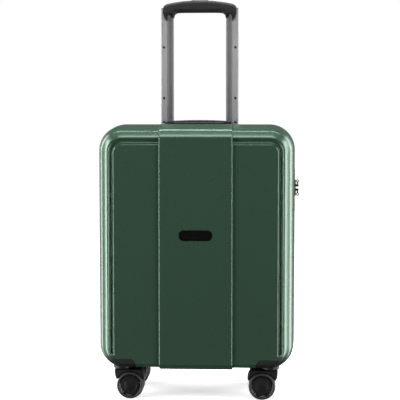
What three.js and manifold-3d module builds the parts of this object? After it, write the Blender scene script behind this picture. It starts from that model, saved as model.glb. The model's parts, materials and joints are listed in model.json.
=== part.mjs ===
// A cabin-size hard shell suitcase on four swivelling twin wheels, with a two-stage pull-out trolley handle.
// Millimetres. The origin is on the floor under the middle of the case, +Z is up and the front faces -Y.
// Rest pose: case zipped shut, first trolley stage pulled out, second stage still inside the first.
import * as THREE from "three";
import { mergeVertices } from "three/addons/utils/BufferGeometryUtils.js";
import Module from "manifold-3d";

const wasm = await Module();
wasm.setup();

// ---------------------------------------------------------------- driving dimensions

// Case
const CASE_WIDTH = 385; // over the zip, side to side
const CASE_HEIGHT = 478.1; // over the zip, underside to top
const SHELL_DEPTH = 91.5; // one half shell, rim to flat face
const ZIP_GAP = 10; // between the two rims, filled by the zip
const CORNER_RADIUS = 50;
const WALL = 2.5;
const BAND_WIDTH = 142; // raised band that wraps the middle of each half
const BAND_RAISE = 3.5;
const FIT = 0.4; // clearance between fixed pieces
const RUN = 0.3; // clearance of sliding and turning pieces

// The half shell's section: how far a level lies inside the rim's outline, and how deep it is there.
const SECTION = [
  { depth: 0, inset: 0 },
  { depth: 0.6, inset: 2.2 },
  { depth: 0.82, inset: 6 },
  { depth: 0.92, inset: 10.8 },
  { depth: 0.975, inset: 16 },
  { depth: 1, inset: 21 },
]; // depth as a share of the half shell's own depth
const TOP_EASE = 1.15; // the top edge rounds off further in than the sides
const BOTTOM_EASE = 0.6; // and the bottom edge less
const CORNER_STEPS = 4;

// Groove that frames the flat face on three sides
const GROOVE_INSET = 21.2;
const GROOVE_WIDTH = 8.5;
const GROOVE_DEPTH = 5;
const GROOVE_FOOT = 31; // height of its two lower ends over the case's underside

// Casters
const WHEEL_RADIUS = 26.2;
const WHEEL_WIDTH = 12;
const WHEEL_SIDES = 24;
const WHEEL_GAP = 17; // between the twin wheels
const AXLE_RADIUS = 3;
const TRAIL = 17; // swivel axis to axle
const HOOD_CLEARANCE = 1.4; // round the wheels, inside the hood
const HOOD_ROOF = 3.2; // hood material over the wheels
const STEM_RADIUS = 5;
const STEM_LENGTH = 17;
const SWIVEL_GAP = 1; // hood to case
const CASTER_FROM_SIDE = 46.5; // swivel axis, in from the case's side
const CASTER_FROM_FACE = 31.5; // swivel axis, in from the flat face
const HOUSING_WIDTH = 75.5;
const HOUSING_HEIGHT = 22;
const HOUSING_BACK = 11; // middle plane to the back of each housing
const HOUSING_WALL = 4;

// Trolley: each leg is a C channel (first stage) with a round-nosed tube (second stage) sliding in its mouth
const TROLLEY_WIDTH = 158; // over the channels
const TROLLEY_FROM_FACE = 24.5; // leg centre, in from the flat face
const CHANNEL_WIDTH = 12.8;
const CHANNEL_DEPTH = 17;
const CHANNEL_WALL = 1.2;
const CHANNEL_LENGTH = 324;
const LEG_WIDTH = 25.6; // channel and nose together
const TUBE_WALL = 1.2;
const OUTER_TUBE_WALL = 1.5;
const CHANNEL_TRAVEL = 250.5;
const LOCK_HOLE_RADIUS = 2.1;
const LOCK_STEPS = [62, 111, 214]; // second-stage stops, up from its lowest place
const PIN_RADIUS = 1.7;
const PIN_LENGTH = 8;
const PIN_OVER_TUBE_END = 10;
const CAM_OVER_PIN = 6.5;
const CAM_HEIGHT = 5;
const TUBE_OVER_CHANNEL_END = 20;
const ROD_RADIUS = 2;

// Trolley grip
const GRIP_HEIGHT = 24.5; // at the middle
const GRIP_THICKNESS = 23; // front to back
const GRIP_DROOP = 6; // ends lower than the middle
const GRIP_WING = 41; // top of the grip to the tip of its wings
const GRIP_SPLIT = 17.2; // top of the grip to the parting line
const GRIP_SHOULDER = 2.6; // the grip's inner corner, inside the leg
const CHANNEL_BELOW_GRIP_TOP = 15;
const FERRULE_LENGTH = 21;
const BUTTON_WIDTH = 34;
const BUTTON_THICKNESS = 12;
const BUTTON_PROUD = 2.2;
const BUTTON_TRAVEL = 4;

// Carry handles
const HANDLE_LENGTH = 132;
const HANDLE_WIDTH = 22;
const HANDLE_ARCH = 6.2; // middle of the handle over its flat underside
const HANDLE_END = 2.4; // thickness at its ends
const HANDLE_FROM_RIM = 23; // handle centre line, back from the rear shell's rim
const HANDLE_TRAVEL = 14;
const LEG_BLOCK = { long: 9, wide: 14, foot: 3, spread: 54 };
const SIDE_HANDLE_BELOW_TOP = 252; // its middle, down from the case's top
const TRAY_DEPTH = 10;
const TRAY_WALL = 2;

// Lock and zip
const LOCK_BELOW_TOP = 125.5; // where the two zip sliders meet
const LOCK_DEPTH = 17;
const LOCK_WIDTH = 26;
const LOCK_ABOVE = 37;
const LOCK_BELOW = 47;
const LOCK_PROUD = 0.8;
const DIAL_RADIUS = 6.5;
const DIAL_WIDTH = 6;
const DIAL_PITCH = 8.5;
const DIAL_AXLE_RADIUS = 1.5;
const KEY_RADIUS = 5.5;
const LOCK_BUTTON = 10;
const TAPE_INSET = 1.5;
const TAPE_THICKNESS = 4.5;
const TAPE_GAP = 0.2; // from the middle plane to each half of the zip
const HINGE_PROUD = 0.5; // the cloth hinge bulges out of the gap
const HINGE_END = 51; // the cloth hinge stops this far from the top and the underside
const SLIDER_LENGTH = 15.6;
const SLIDER_WIDTH = 11;
const SLIDER_HEIGHT = 2;
const EAR_NEAR = 1.6; // the two ears that hold a pull, either side of it
const EAR_FAR = 3;
const EAR_RADIUS = 2.2;
const PULL_LENGTH = 9; // pin to the ring at the pull's end
const PULL_THICKNESS = 2.4;
const PULL_PIN_RADIUS = 0.9;
const PULL_PIN_FROM_MEETING = 4.2;
const PULL_RING_RADIUS = 3.1;
const PULL_RING_HOLE = 1.6;

// Badge and linings
const BADGE_LENGTH = 65;
const BADGE_HEIGHT = 20.5;
const BADGE_THICKNESS = 2;
const BADGE_RECESS = 0.6;
const BADGE_BELOW_TOP = 213.5;
const LINING = 1.2;
const LINING_CLEAR = 4;

// ---------------------------------------------------------------- places worked out from those

const HALF_WIDTH = CASE_WIDTH / 2;
const HOOD_TOP = 2 * WHEEL_RADIUS + HOOD_CLEARANCE + HOOD_ROOF;
const CASE_BOTTOM = HOOD_TOP + SWIVEL_GAP;
const CASE_TOP = CASE_BOTTOM + CASE_HEIGHT;
const RIM = ZIP_GAP / 2;
const FACE = RIM + SHELL_DEPTH; // middle plane to each flat face
const CASTER_X = HALF_WIDTH - CASTER_FROM_SIDE;
const CASTER_Y = FACE - CASTER_FROM_FACE;
const TROLLEY_Y = FACE - TROLLEY_FROM_FACE;
const LEG_OUT = TROLLEY_WIDTH / 2;
const LEG_IN = LEG_OUT - LEG_WIDTH;
const NOSE_RADIUS = CHANNEL_DEPTH / 2 - 0.2;
const ROD_X = LEG_IN + NOSE_RADIUS;
const GRIP_TOP = CASE_TOP + CHANNEL_TRAVEL;
const CHANNEL_TOP = GRIP_TOP - CHANNEL_BELOW_GRIP_TOP;
const CHANNEL_END = CHANNEL_TOP - CHANNEL_LENGTH;
const TUBE_END = CHANNEL_END + TUBE_OVER_CHANNEL_END;
const PIN_Z = TUBE_END + PIN_OVER_TUBE_END;
const PIN_X = LEG_OUT - CHANNEL_WIDTH / 2;
const TUBE_REST = CASE_BOTTOM + 14; // lower end of the outer tubes
const TUBE_TOP = GRIP_TOP - GRIP_WING + 0.4;
const BEZEL_HALF = LEG_OUT + 11;
const BEZEL_FRONT = TROLLEY_Y - GRIP_THICKNESS / 2 - 6;
const BEZEL_FLOOR = CASE_TOP - GRIP_HEIGHT - 3.5;
const BEZEL_WELL = CASE_TOP - GRIP_WING - 1;
const BEZEL_LOW = BEZEL_WELL - 9.5;
const HANDLE_Y = RIM + HANDLE_FROM_RIM;
const SIDE_HANDLE_Z = CASE_TOP - SIDE_HANDLE_BELOW_TOP;
const LOCK_Z = CASE_TOP - LOCK_BELOW_TOP;
const LOCK_FACE = HALF_WIDTH + LOCK_PROUD;
const LOCK_NEAR = RIM + 5;
const LOCK_Y = LOCK_NEAR + LOCK_WIDTH / 2 + 2;
const SLIDER_X = HALF_WIDTH + RUN;
const PULL_X = SLIDER_X + SLIDER_HEIGHT + RUN + PULL_RING_RADIUS;

// ---------------------------------------------------------------- materials

const finish = (color, roughness, metalness = 0) =>
  new THREE.MeshStandardMaterial({ color, roughness, metalness });
const GREEN = finish(0x2f4d3c, 0.38, 0.35);
const BLACK = finish(0x1b1b1d, 0.6);
const GLOSS_BLACK = finish(0x141416, 0.25);
const ALUMINIUM = finish(0xb0b0b2, 0.35, 0.9);
const DARK_ALUMINIUM = finish(0x8c8c8e, 0.35, 0.9);
const STEEL = finish(0x9a9a9c, 0.3, 1);
const TYRE = finish(0x161617, 0.7);
const TAPE = finish(0x1d2320, 0.9);
const FABRIC = finish(0x2b2d2f, 0.95);
const BADGE = finish(0x232325, 0.3, 0.6);

// ---------------------------------------------------------------- solids

// A closed three.js geometry as a solid that can be joined and cut.
function solid(geometry) {
  const plain = geometry.index ? geometry.toNonIndexed() : geometry.clone();
  plain.deleteAttribute("normal");
  plain.deleteAttribute("uv");
  const merged = mergeVertices(plain, 1e-4);
  return new wasm.Manifold(
    new wasm.Mesh({
      numProp: 3,
      vertProperties: merged.attributes.position.array,
      triVerts: new Uint32Array(merged.index.array),
    }),
  );
}

function geometryOf(shape) {
  const mesh = shape.getMesh();
  const geometry = new THREE.BufferGeometry();
  geometry.setAttribute("position", new THREE.BufferAttribute(mesh.vertProperties, 3));
  geometry.setIndex(new THREE.BufferAttribute(mesh.triVerts, 1));
  geometry.computeVertexNormals();
  return geometry;
}

const join = (first, ...others) => others.reduce((sum, other) => sum.add(other), first);
const cut = (first, ...others) => others.reduce((rest, other) => rest.subtract(other), first);

function box(x, y, z) {
  const geometry = new THREE.BoxGeometry(x[1] - x[0], y[1] - y[0], z[1] - z[0]);
  geometry.translate((x[0] + x[1]) / 2, (y[0] + y[1]) / 2, (z[0] + z[1]) / 2);
  return solid(geometry);
}

// A round bar from one point to another along one axis.
function bar(axis, radius, at, from, to, sides = 20) {
  const geometry = new THREE.CylinderGeometry(radius, radius, to - from, sides);
  geometry.translate(0, (from + to) / 2, 0);
  if (axis === "x") geometry.rotateZ(-Math.PI / 2);
  if (axis === "z") geometry.rotateX(Math.PI / 2);
  geometry.translate(at[0], at[1], at[2]);
  return solid(geometry);
}

// Extrusions of a flat outline: upwards, towards the front, or out of the right-hand side.
function raise(shape, from, to, steps = 2) {
  const geometry = new THREE.ExtrudeGeometry(shape, {
    depth: to - from,
    bevelEnabled: false,
    curveSegments: steps,
  });
  geometry.translate(0, 0, from);
  return solid(geometry);
}

function push(shape, back, front, steps = 2) {
  const geometry = new THREE.ExtrudeGeometry(shape, {
    depth: back - front,
    bevelEnabled: false,
    curveSegments: steps,
  });
  geometry.rotateX(Math.PI / 2);
  geometry.translate(0, back, 0);
  return solid(geometry);
}

function pushRight(shape, from, to, steps = 2) {
  const geometry = new THREE.ExtrudeGeometry(shape, {
    depth: to - from,
    bevelEnabled: false,
    curveSegments: steps,
  });
  geometry.rotateX(Math.PI / 2);
  geometry.rotateZ(Math.PI / 2);
  geometry.translate(from, 0, 0);
  return solid(geometry);
}

// A rectangle with round corners, low corner to high corner.
function roundRect(x, y, radius) {
  const shape = new THREE.Shape();
  shape.moveTo(x[0] + radius, y[0]);
  shape.lineTo(x[1] - radius, y[0]);
  shape.absarc(x[1] - radius, y[0] + radius, radius, -Math.PI / 2, 0);
  shape.lineTo(x[1], y[1] - radius);
  shape.absarc(x[1] - radius, y[1] - radius, radius, 0, Math.PI / 2);
  shape.lineTo(x[0] + radius, y[1]);
  shape.absarc(x[0] + radius, y[1] - radius, radius, Math.PI / 2, Math.PI);
  shape.lineTo(x[0], y[0] + radius);
  shape.absarc(x[0] + radius, y[0] + radius, radius, Math.PI, 1.5 * Math.PI);
  return shape;
}

// A stretch from near to far, measured outwards from the middle on one side: -1 left, 1 right.
const span = (side, near, far) => (side < 0 ? [-far, -near] : [near, far]);

// A solid turned half round the vertical axis, from the front half's place to the rear half's.
const turned = (shape) => solid(geometryOf(shape).toNonIndexed().rotateZ(Math.PI));

// ---------------------------------------------------------------- the case's outline and envelope

// Outline of the case seen from the front, a given inset inside the rim's outline and grown by grow.
function outline(inset, grow = 0, floor = null) {
  const half = HALF_WIDTH - inset + grow;
  const low = floor ?? CASE_BOTTOM + inset * BOTTOM_EASE - grow;
  const high = CASE_TOP - inset * TOP_EASE + grow;
  const radius = Math.max(CORNER_RADIUS - inset + grow, 4);
  return roundRect([-half, half], [low, high], radius);
}

// Skin through outlines that all have the same number of points, closed at both ends.
function loft(levels) {
  const rings = levels.map(({ shape, y }) => {
    const points = shape
      .getPoints(CORNER_STEPS)
      .filter((p, i, all) => !i || p.distanceTo(all[i - 1]) > 1e-6);
    if (points[0].distanceTo(points.at(-1)) < 1e-6) points.pop();
    return points.map((p) => new THREE.Vector3(p.x, y, p.y));
  });
  const count = rings[0].length;
  const positions = rings.flat().flatMap((p) => [p.x, p.y, p.z]);
  const index = [];
  for (let r = 0; r + 1 < rings.length; r++)
    for (let i = 0; i < count; i++) {
      const [a, b] = [r * count + i, r * count + ((i + 1) % count)];
      index.push(a, b, a + count, b, b + count, a + count);
    }
  const last = (rings.length - 1) * count;
  const flat = rings[0].map((p) => new THREE.Vector2(p.x, p.z));
  for (const [a, b, c] of THREE.ShapeUtils.triangulateShape(flat, []))
    index.push(a, c, b, last + a, last + b, last + c);
  const geometry = new THREE.BufferGeometry();
  geometry.setAttribute("position", new THREE.Float32BufferAttribute(positions, 3));
  geometry.setIndex(index);
  return geometry;
}

// The space inside the front half shell's skin, grown by grow. It starts at the plane y = -start.
function envelope(grow, start = RIM, floor = null, depth = SHELL_DEPTH) {
  const inner = SECTION.slice(1).map((s) => ({
    shape: outline(s.inset, grow, floor),
    y: -(RIM + s.depth * (depth + grow)),
  }));
  return loft([{ shape: outline(0, grow, floor), y: -start }, ...inner]);
}

const slab = (half) => box([-half, half], [-2 * FACE, 0], [0, 2 * CASE_TOP]);

// ---------------------------------------------------------------- half shells

// The corner block that a caster housing fills, up to back behind the front: side is -1 left, 1 right.
function cornerBlock(side, clearance, back = HOUSING_BACK - clearance) {
  const x = span(side, HALF_WIDTH - HOUSING_WIDTH - clearance, HALF_WIDTH + 20);
  const z = [CASE_BOTTOM - 20, CASE_BOTTOM + HOUSING_HEIGHT + clearance];
  return push(roundRect(x, z, 11), -back, -(FACE + 20), 3);
}

function grooveRing(spare, back, front) {
  const shape = outline(GROOVE_INSET - spare);
  shape.holes.push(outline(GROOVE_INSET + GROOVE_WIDTH + spare));
  const keep = box([-HALF_WIDTH, HALF_WIDTH], [front, back], [CASE_BOTTOM + GROOVE_FOOT - spare, CASE_TOP]);
  return push(shape, back, front, CORNER_STEPS).intersect(keep);
}

// One half shell, in the front half's place: walls, raised band, framing groove, open corners for the casters.
function halfShell() {
  const band = solid(envelope(BAND_RAISE, RIM + 3)).intersect(slab(BAND_WIDTH / 2));
  const insideBand = slab(BAND_WIDTH / 2 - WALL);
  const bandHollow = solid(envelope(BAND_RAISE - WALL, RIM + 3 + WALL)).intersect(insideBand);
  const hollow = solid(envelope(-WALL, RIM - 1));
  const rib = cut(grooveRing(WALL, -(FACE - GROOVE_DEPTH - WALL), -(FACE - WALL)), insideBand);
  const groove = cut(grooveRing(0, -(FACE - GROOVE_DEPTH), -(FACE + 5)), slab(BAND_WIDTH / 2));
  return cut(
    join(cut(join(solid(envelope(0)), band), join(hollow, bandHollow)), rib),
    groove,
    cornerBlock(-1, FIT),
    cornerBlock(1, FIT),
  );
}

function badgeOutline(clearance) {
  const middle = CASE_TOP - BADGE_BELOW_TOP;
  const x = BADGE_LENGTH / 2 + clearance;
  const z = BADGE_HEIGHT / 2 + clearance;
  return roundRect([-x, x], [middle - z, middle + z], z - 0.01);
}

function frontShell() {
  const bandFace = -(FACE + BAND_RAISE);
  const recess = bandFace + BADGE_RECESS + BADGE_THICKNESS + FIT / 2;
  return cut(halfShell(), push(badgeOutline(FIT), recess, bandFace - 5));
}

function badge() {
  const face = -(FACE + BAND_RAISE) + BADGE_RECESS;
  return push(badgeOutline(0), face + BADGE_THICKNESS, face);
}

function rearShell() {
  const plain = turned(halfShell());
  const bezelRoom = box([-BEZEL_HALF - FIT, BEZEL_HALF + FIT], [BEZEL_FRONT - FIT, 2 * FACE],
    [BEZEL_LOW - FIT, 2 * CASE_TOP]);
  const handleRoom = [topPlateSolid(FIT), ...legBlocks("top", RUN + FIT), trayOutline(FIT)];
  return cut(plain, bezelRoom, ...handleRoom, lockBlock(FIT));
}

// ---------------------------------------------------------------- zip and cloth hinge

// One half of the tape, a loop just inside the outline. side is -1 for the front half, 1 for the rear.
function tapeLoop(side) {
  const shape = outline(TAPE_INSET);
  shape.holes.push(outline(TAPE_INSET + TAPE_THICKNESS));
  const near = side * TAPE_GAP;
  const far = side * (RIM - RUN);
  return push(shape, Math.max(near, far), Math.min(near, far), CORNER_STEPS);
}

// The teeth's side of the tape stops at the top and bottom of the cloth hinge.
function zipTape(side) {
  return cut(tapeLoop(side),
    box([-HALF_WIDTH - 5, -HALF_WIDTH + 20], [-RIM, RIM], [CASE_BOTTOM + HINGE_END, CASE_TOP - HINGE_END]));
}

function hingeTape(side) {
  const near = side * TAPE_GAP;
  const far = side * (RIM - RUN);
  return box([-HALF_WIDTH - HINGE_PROUD, -HALF_WIDTH + TAPE_INSET + TAPE_THICKNESS],
    [Math.min(near, far), Math.max(near, far)],
    [CASE_BOTTOM + HINGE_END + RUN, CASE_TOP - HINGE_END - RUN]);
}

// A slider rides on the teeth from outside; two ears hold its pull. way is 1 for the upper, -1 for the lower.
const pullPinZ = (way) => LOCK_Z + way * PULL_PIN_FROM_MEETING;

function zipSlider(way) {
  const z = [LOCK_Z + way * 0.5, LOCK_Z + way * SLIDER_LENGTH].sort((a, b) => a - b);
  const flat = roundRect([-SLIDER_WIDTH / 2, SLIDER_WIDTH / 2], z, 2);
  const body = pushRight(flat, SLIDER_X, SLIDER_X + SLIDER_HEIGHT);
  const wedge = box([HALF_WIDTH - TAPE_INSET + RUN, SLIDER_X + 1], [-2.5, 2.5], [z[0] + 2, z[1] - 2]);
  const at = [PULL_X, 0, pullPinZ(way)];
  const ears = [-1, 1].flatMap((side) => {
    const y = span(side, EAR_NEAR, EAR_FAR);
    return [
      bar("y", EAR_RADIUS, at, ...y, 12),
      box([SLIDER_X + 1, PULL_X], y, [at[2] - EAR_RADIUS, at[2] + EAR_RADIUS]),
    ];
  });
  return join(body, wedge, ...ears, bar("y", PULL_PIN_RADIUS, at, -EAR_FAR, EAR_FAR, 12));
}

// The pull turns on the pin: a ring at its free end and a tongue that lies over the lock.
function zipPull(way) {
  const z = pullPinZ(way);
  const half = PULL_THICKNESS / 2;
  const ringAt = [PULL_X, 0, z + way * PULL_LENGTH];
  const root = bar("y", EAR_RADIUS, [PULL_X, 0, z], -half, half, 12);
  const reach = [z, ringAt[2]].sort((a, b) => a - b);
  const arm = box([PULL_X - 1.3, PULL_X + 1.3], [-half, half], reach);
  const ring = bar("y", PULL_RING_RADIUS, ringAt, -half, half, 16);
  const tongue = box([PULL_X - 0.8, PULL_X + 0.8], [-half, LOCK_NEAR + 8],
    [z + way * 5.2 - 2, z + way * 5.2 + 2]);
  const pinHole = bar("y", PULL_PIN_RADIUS + 0.2, [PULL_X, 0, z], -half - 1, half + 1, 12);
  const ringHole = bar("y", PULL_RING_HOLE, ringAt, -half - 1, half + 1, 12);
  return cut(join(root, arm, ring, tongue), pinHole, ringHole);
}

// ---------------------------------------------------------------- lock

function lockBlock(spare) {
  const y = [LOCK_NEAR - spare, LOCK_NEAR + LOCK_WIDTH + spare];
  const z = [LOCK_Z - LOCK_BELOW - spare, LOCK_Z + LOCK_ABOVE + spare];
  return pushRight(roundRect(y, z, 5), LOCK_FACE - LOCK_DEPTH - spare, LOCK_FACE + 2 * spare);
}

const dialZ = (n) => LOCK_Z - 22 - n * DIAL_PITCH;
const DIAL_X = LOCK_FACE - DIAL_RADIUS + 1.5;
const KEY_Z = LOCK_Z + 26.5;

function lockBody() {
  const room = DIAL_RADIUS + RUN;
  const windows = [0, 1, 2].map((n) =>
    box([DIAL_X - room, LOCK_FACE + 5], [LOCK_Y - room, LOCK_Y + room],
      [dialZ(n) - DIAL_WIDTH / 2 - RUN, dialZ(n) + DIAL_WIDTH / 2 + RUN]));
  const half = LOCK_BUTTON / 2 + RUN;
  const buttonRoom = box([LOCK_FACE - 8, LOCK_FACE + 5], [LOCK_Y - half, LOCK_Y + half],
    [LOCK_Z - half, LOCK_Z + half]);
  const keyRoom = bar("x", KEY_RADIUS + RUN, [0, LOCK_Y, KEY_Z], LOCK_FACE - 12, LOCK_FACE + 5);
  const dialAxle = bar("z", DIAL_AXLE_RADIUS, [DIAL_X, LOCK_Y, 0], dialZ(2) - 5, dialZ(0) + 5, 12);
  return join(cut(lockBlock(0), ...windows, buttonRoom, keyRoom), dialAxle);
}

function lockDial(n) {
  const at = [DIAL_X, LOCK_Y, dialZ(n)];
  return cut(bar("z", DIAL_RADIUS, at, -DIAL_WIDTH / 2, DIAL_WIDTH / 2),
    bar("z", DIAL_AXLE_RADIUS + RUN, at, -DIAL_WIDTH, DIAL_WIDTH, 12));
}

function lockButton() {
  const half = LOCK_BUTTON / 2;
  return pushRight(roundRect([LOCK_Y - half, LOCK_Y + half], [LOCK_Z - half, LOCK_Z + half], 2),
    LOCK_FACE - 4.5, LOCK_FACE + 1.6);
}

function keyCylinder() {
  const barrel = bar("x", KEY_RADIUS, [0, LOCK_Y, KEY_Z], LOCK_FACE - 10, LOCK_FACE + 0.5);
  const slot = box([LOCK_FACE - 5, LOCK_FACE + 5], [LOCK_Y - 0.7, LOCK_Y + 0.7],
    [KEY_Z - 3.2, KEY_Z + 3.2]);
  return cut(barrel, slot);
}

// ---------------------------------------------------------------- carry handles

// A bowed strap on a flat underside, with a leg near each end that slides through the case's wall.
function handleBow() {
  const half = HANDLE_LENGTH / 2;
  const shape = new THREE.Shape();
  shape.moveTo(-half, 0);
  shape.lineTo(half, 0);
  shape.lineTo(half, HANDLE_END);
  shape.quadraticCurveTo(0, 2 * HANDLE_ARCH - HANDLE_END, -half, HANDLE_END);
  return shape;
}

// The two legs of a carry handle: "top" stands on the top band, "side" lies on the tray's floor.
function legBlocks(place, spare) {
  const { long, wide, foot, spread } = LEG_BLOCK;
  const drop = HANDLE_TRAVEL + WALL + foot + 2;
  return [-1, 1].flatMap((side) => {
    const along = [side * spread - long / 2 - spare, side * spread + long / 2 + spare];
    const footAlong = [along[0] - 2, along[1] + 2];
    const across = [HANDLE_Y - wide / 2 - spare, HANDLE_Y + wide / 2 + spare];
    if (place === "top") {
      const under = topUnderside() - TOP_PLATE - 1.5;
      const leg = box(along, across, [under - drop, topUnderside() + 1]);
      return spare ? [leg] : [leg, box(footAlong, across, [under - drop, under - drop + foot])];
    }
    const under = TRAY_FLOOR;
    const up = [along[0] + SIDE_HANDLE_Z, along[1] + SIDE_HANDLE_Z];
    const footUp = [footAlong[0] + SIDE_HANDLE_Z, footAlong[1] + SIDE_HANDLE_Z];
    const leg = box([under - drop, under + 2.5], across, up);
    return spare ? [leg] : [leg, box([under - drop, under - drop + foot], across, footUp)];
  });
}

const TOP_PLATE = 3;
const topUnderside = () => CASE_TOP + BAND_RAISE + RUN;
const TRAY_FLOOR = HALF_WIDTH - RUN - TRAY_DEPTH + TRAY_WALL;

function topPlateSolid(spare) {
  const half = HANDLE_LENGTH / 2 + 3 + spare;
  const wide = HANDLE_WIDTH / 2 + 3 + spare;
  const top = topUnderside() - RUN;
  const shape = roundRect([-half, half], [HANDLE_Y - wide, HANDLE_Y + wide], 6);
  return raise(shape, top - TOP_PLATE - spare, top + spare * 9);
}

const topPlate = () => cut(topPlateSolid(0), ...legBlocks("top", RUN));

function topHandle() {
  const strap = push(handleBow(), HANDLE_Y + HANDLE_WIDTH / 2, HANDLE_Y - HANDLE_WIDTH / 2, 10);
  const lifted = strap.translate([0, 0, topUnderside()]);
  return join(lifted, ...legBlocks("top", 0));
}

// Outline of the side handle's tray, seen from the side, grown by spare.
function trayShape(spare, radius) {
  const half = HANDLE_LENGTH / 2 + 9 + spare;
  const wide = HANDLE_WIDTH / 2 + 6 + spare;
  return roundRect([HANDLE_Y - wide, HANDLE_Y + wide], [SIDE_HANDLE_Z - half, SIDE_HANDLE_Z + half], radius);
}

const trayOutline = (spare) =>
  pushRight(trayShape(spare, 12), HALF_WIDTH - RUN - TRAY_DEPTH - spare, HALF_WIDTH - RUN + 3 * spare);

function sideTray() {
  const dish = pushRight(trayShape(-TRAY_WALL, 10), TRAY_FLOOR, HALF_WIDTH + 5);
  return cut(trayOutline(0), dish, ...legBlocks("side", RUN));
}

function sideHandle() {
  const geometry = new THREE.ExtrudeGeometry(handleBow(), {
    depth: HANDLE_WIDTH,
    bevelEnabled: false,
    curveSegments: 10,
  });
  geometry.rotateX(Math.PI / 2);
  geometry.rotateY(Math.PI / 2);
  geometry.translate(TRAY_FLOOR + 1.2, HANDLE_Y + HANDLE_WIDTH / 2, SIDE_HANDLE_Z);
  return join(solid(geometry), ...legBlocks("side", 0));
}

// ---------------------------------------------------------------- casters

// Black corner piece of the front half that carries one caster, hollow and open at its back.
function casterHousing(side) {
  const body = solid(envelope(-1)).intersect(cornerBlock(side, 0));
  const pocket = solid(envelope(-1 - HOUSING_WALL)).intersect(cornerBlock(side, -HOUSING_WALL, RIM));
  const at = [side * CASTER_X, -CASTER_Y, 0];
  const boss = bar("z", STEM_RADIUS + 7, at, CASE_BOTTOM + 0.3, CASE_BOTTOM + HOUSING_HEIGHT - 1);
  const bore = bar("z", STEM_RADIUS + RUN, at, CASE_BOTTOM - 5, HOOD_TOP + STEM_LENGTH + 1.5);
  return cut(join(cut(body, pocket), boss.intersect(solid(envelope(-1)))), bore);
}

// Side view of the hood: u runs from the swivel axis towards the wheel.
function hoodOutline() {
  const shape = new THREE.Shape();
  const rim = WHEEL_RADIUS + HOOD_CLEARANCE;
  shape.moveTo(TRAIL - rim - 3.4, HOOD_TOP);
  shape.lineTo(TRAIL - rim - 3.4, HOOD_TOP - 10);
  shape.lineTo(TRAIL - rim + 0.5, WHEEL_RADIUS + 10.8);
  shape.lineTo(TRAIL + rim - 0.5, WHEEL_RADIUS + 10.8);
  shape.lineTo(TRAIL + rim + 1, HOOD_TOP - 12);
  shape.quadraticCurveTo(TRAIL + rim, HOOD_TOP, TRAIL + rim - 7, HOOD_TOP);
  return shape;
}

function webOutline() {
  const shape = new THREE.Shape();
  const boss = AXLE_RADIUS + 4.5;
  shape.moveTo(TRAIL - 24, WHEEL_RADIUS + 12);
  shape.lineTo(TRAIL - boss, WHEEL_RADIUS);
  shape.absarc(TRAIL, WHEEL_RADIUS, boss, Math.PI, 2 * Math.PI);
  shape.lineTo(TRAIL + 24, WHEEL_RADIUS + 12);
  shape.lineTo(TRAIL + 20, HOOD_TOP - 4);
  shape.lineTo(TRAIL - 20, HOOD_TOP - 4);
  return shape;
}

function casterFork() {
  const half = WHEEL_GAP / 2 + WHEEL_WIDTH;
  const web = WHEEL_GAP / 2 - 2;
  const rim = WHEEL_RADIUS + HOOD_CLEARANCE;
  const hood = push(hoodOutline(), half, -half);
  const rooms = [[-half - 5, -web], [web, half + 5]].map(([from, to]) =>
    bar("y", rim, [TRAIL, 0, WHEEL_RADIUS], from, to, WHEEL_SIDES));
  const stem = bar("z", STEM_RADIUS, [0, 0, 0], HOOD_TOP - 4, HOOD_TOP + STEM_LENGTH);
  const bore = bar("y", AXLE_RADIUS + RUN, [TRAIL, 0, WHEEL_RADIUS], -half, half, 16);
  return cut(join(cut(hood, ...rooms), push(webOutline(), web, -web), stem), bore);
}

// A wheel turned about the axle, dished outwards; a flat of its tread is lowest. way is 1 or -1 along Y.
function wheel(way) {
  const tread = WHEEL_RADIUS / Math.cos(Math.PI / WHEEL_SIDES);
  const [inside, outside] = [WHEEL_GAP / 2, WHEEL_GAP / 2 + WHEEL_WIDTH];
  const bore = AXLE_RADIUS + RUN;
  const profile = [
    [0, outside - 4], [bore, outside - 4], [bore, inside], [tread - 1.8, inside], [tread, inside + 2],
    [tread, outside - 2.6], [tread - 5.2, outside], [tread - 8.6, outside - 2], [0, outside - 1.6],
  ].map(([r, y]) => new THREE.Vector2(r, y));
  const geometry = new THREE.LatheGeometry(profile, WHEEL_SIDES);
  geometry.rotateY(Math.PI / WHEEL_SIDES);
  if (way < 0) geometry.rotateX(Math.PI);
  return solid(geometry);
}

const axle = () => {
  const half = WHEEL_GAP / 2 + WHEEL_WIDTH - 4 - RUN;
  return bar("y", AXLE_RADIUS, [0, 0, 0], -half, half, 16);
};

// ---------------------------------------------------------------- trolley

// Plan views of one leg, side -1 left or 1 right; x runs outwards and y across the leg.
function mirrored(points, side) {
  return new THREE.Shape(points.map(([x, y]) => new THREE.Vector2(side * x, y)));
}

function channelPlan(side) {
  const [out, mouth] = [LEG_OUT, LEG_OUT - CHANNEL_WIDTH];
  const [y, inner] = [CHANNEL_DEPTH / 2, CHANNEL_DEPTH / 2 - CHANNEL_WALL];
  return mirrored([
    [mouth, -y], [out - 1, -y], [out, -y + 1], [out, y - 1], [out - 1, y], [mouth, y],
    [mouth, inner], [out - CHANNEL_WALL, inner], [out - CHANNEL_WALL, -inner], [mouth, -inner],
  ], side);
}

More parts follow.
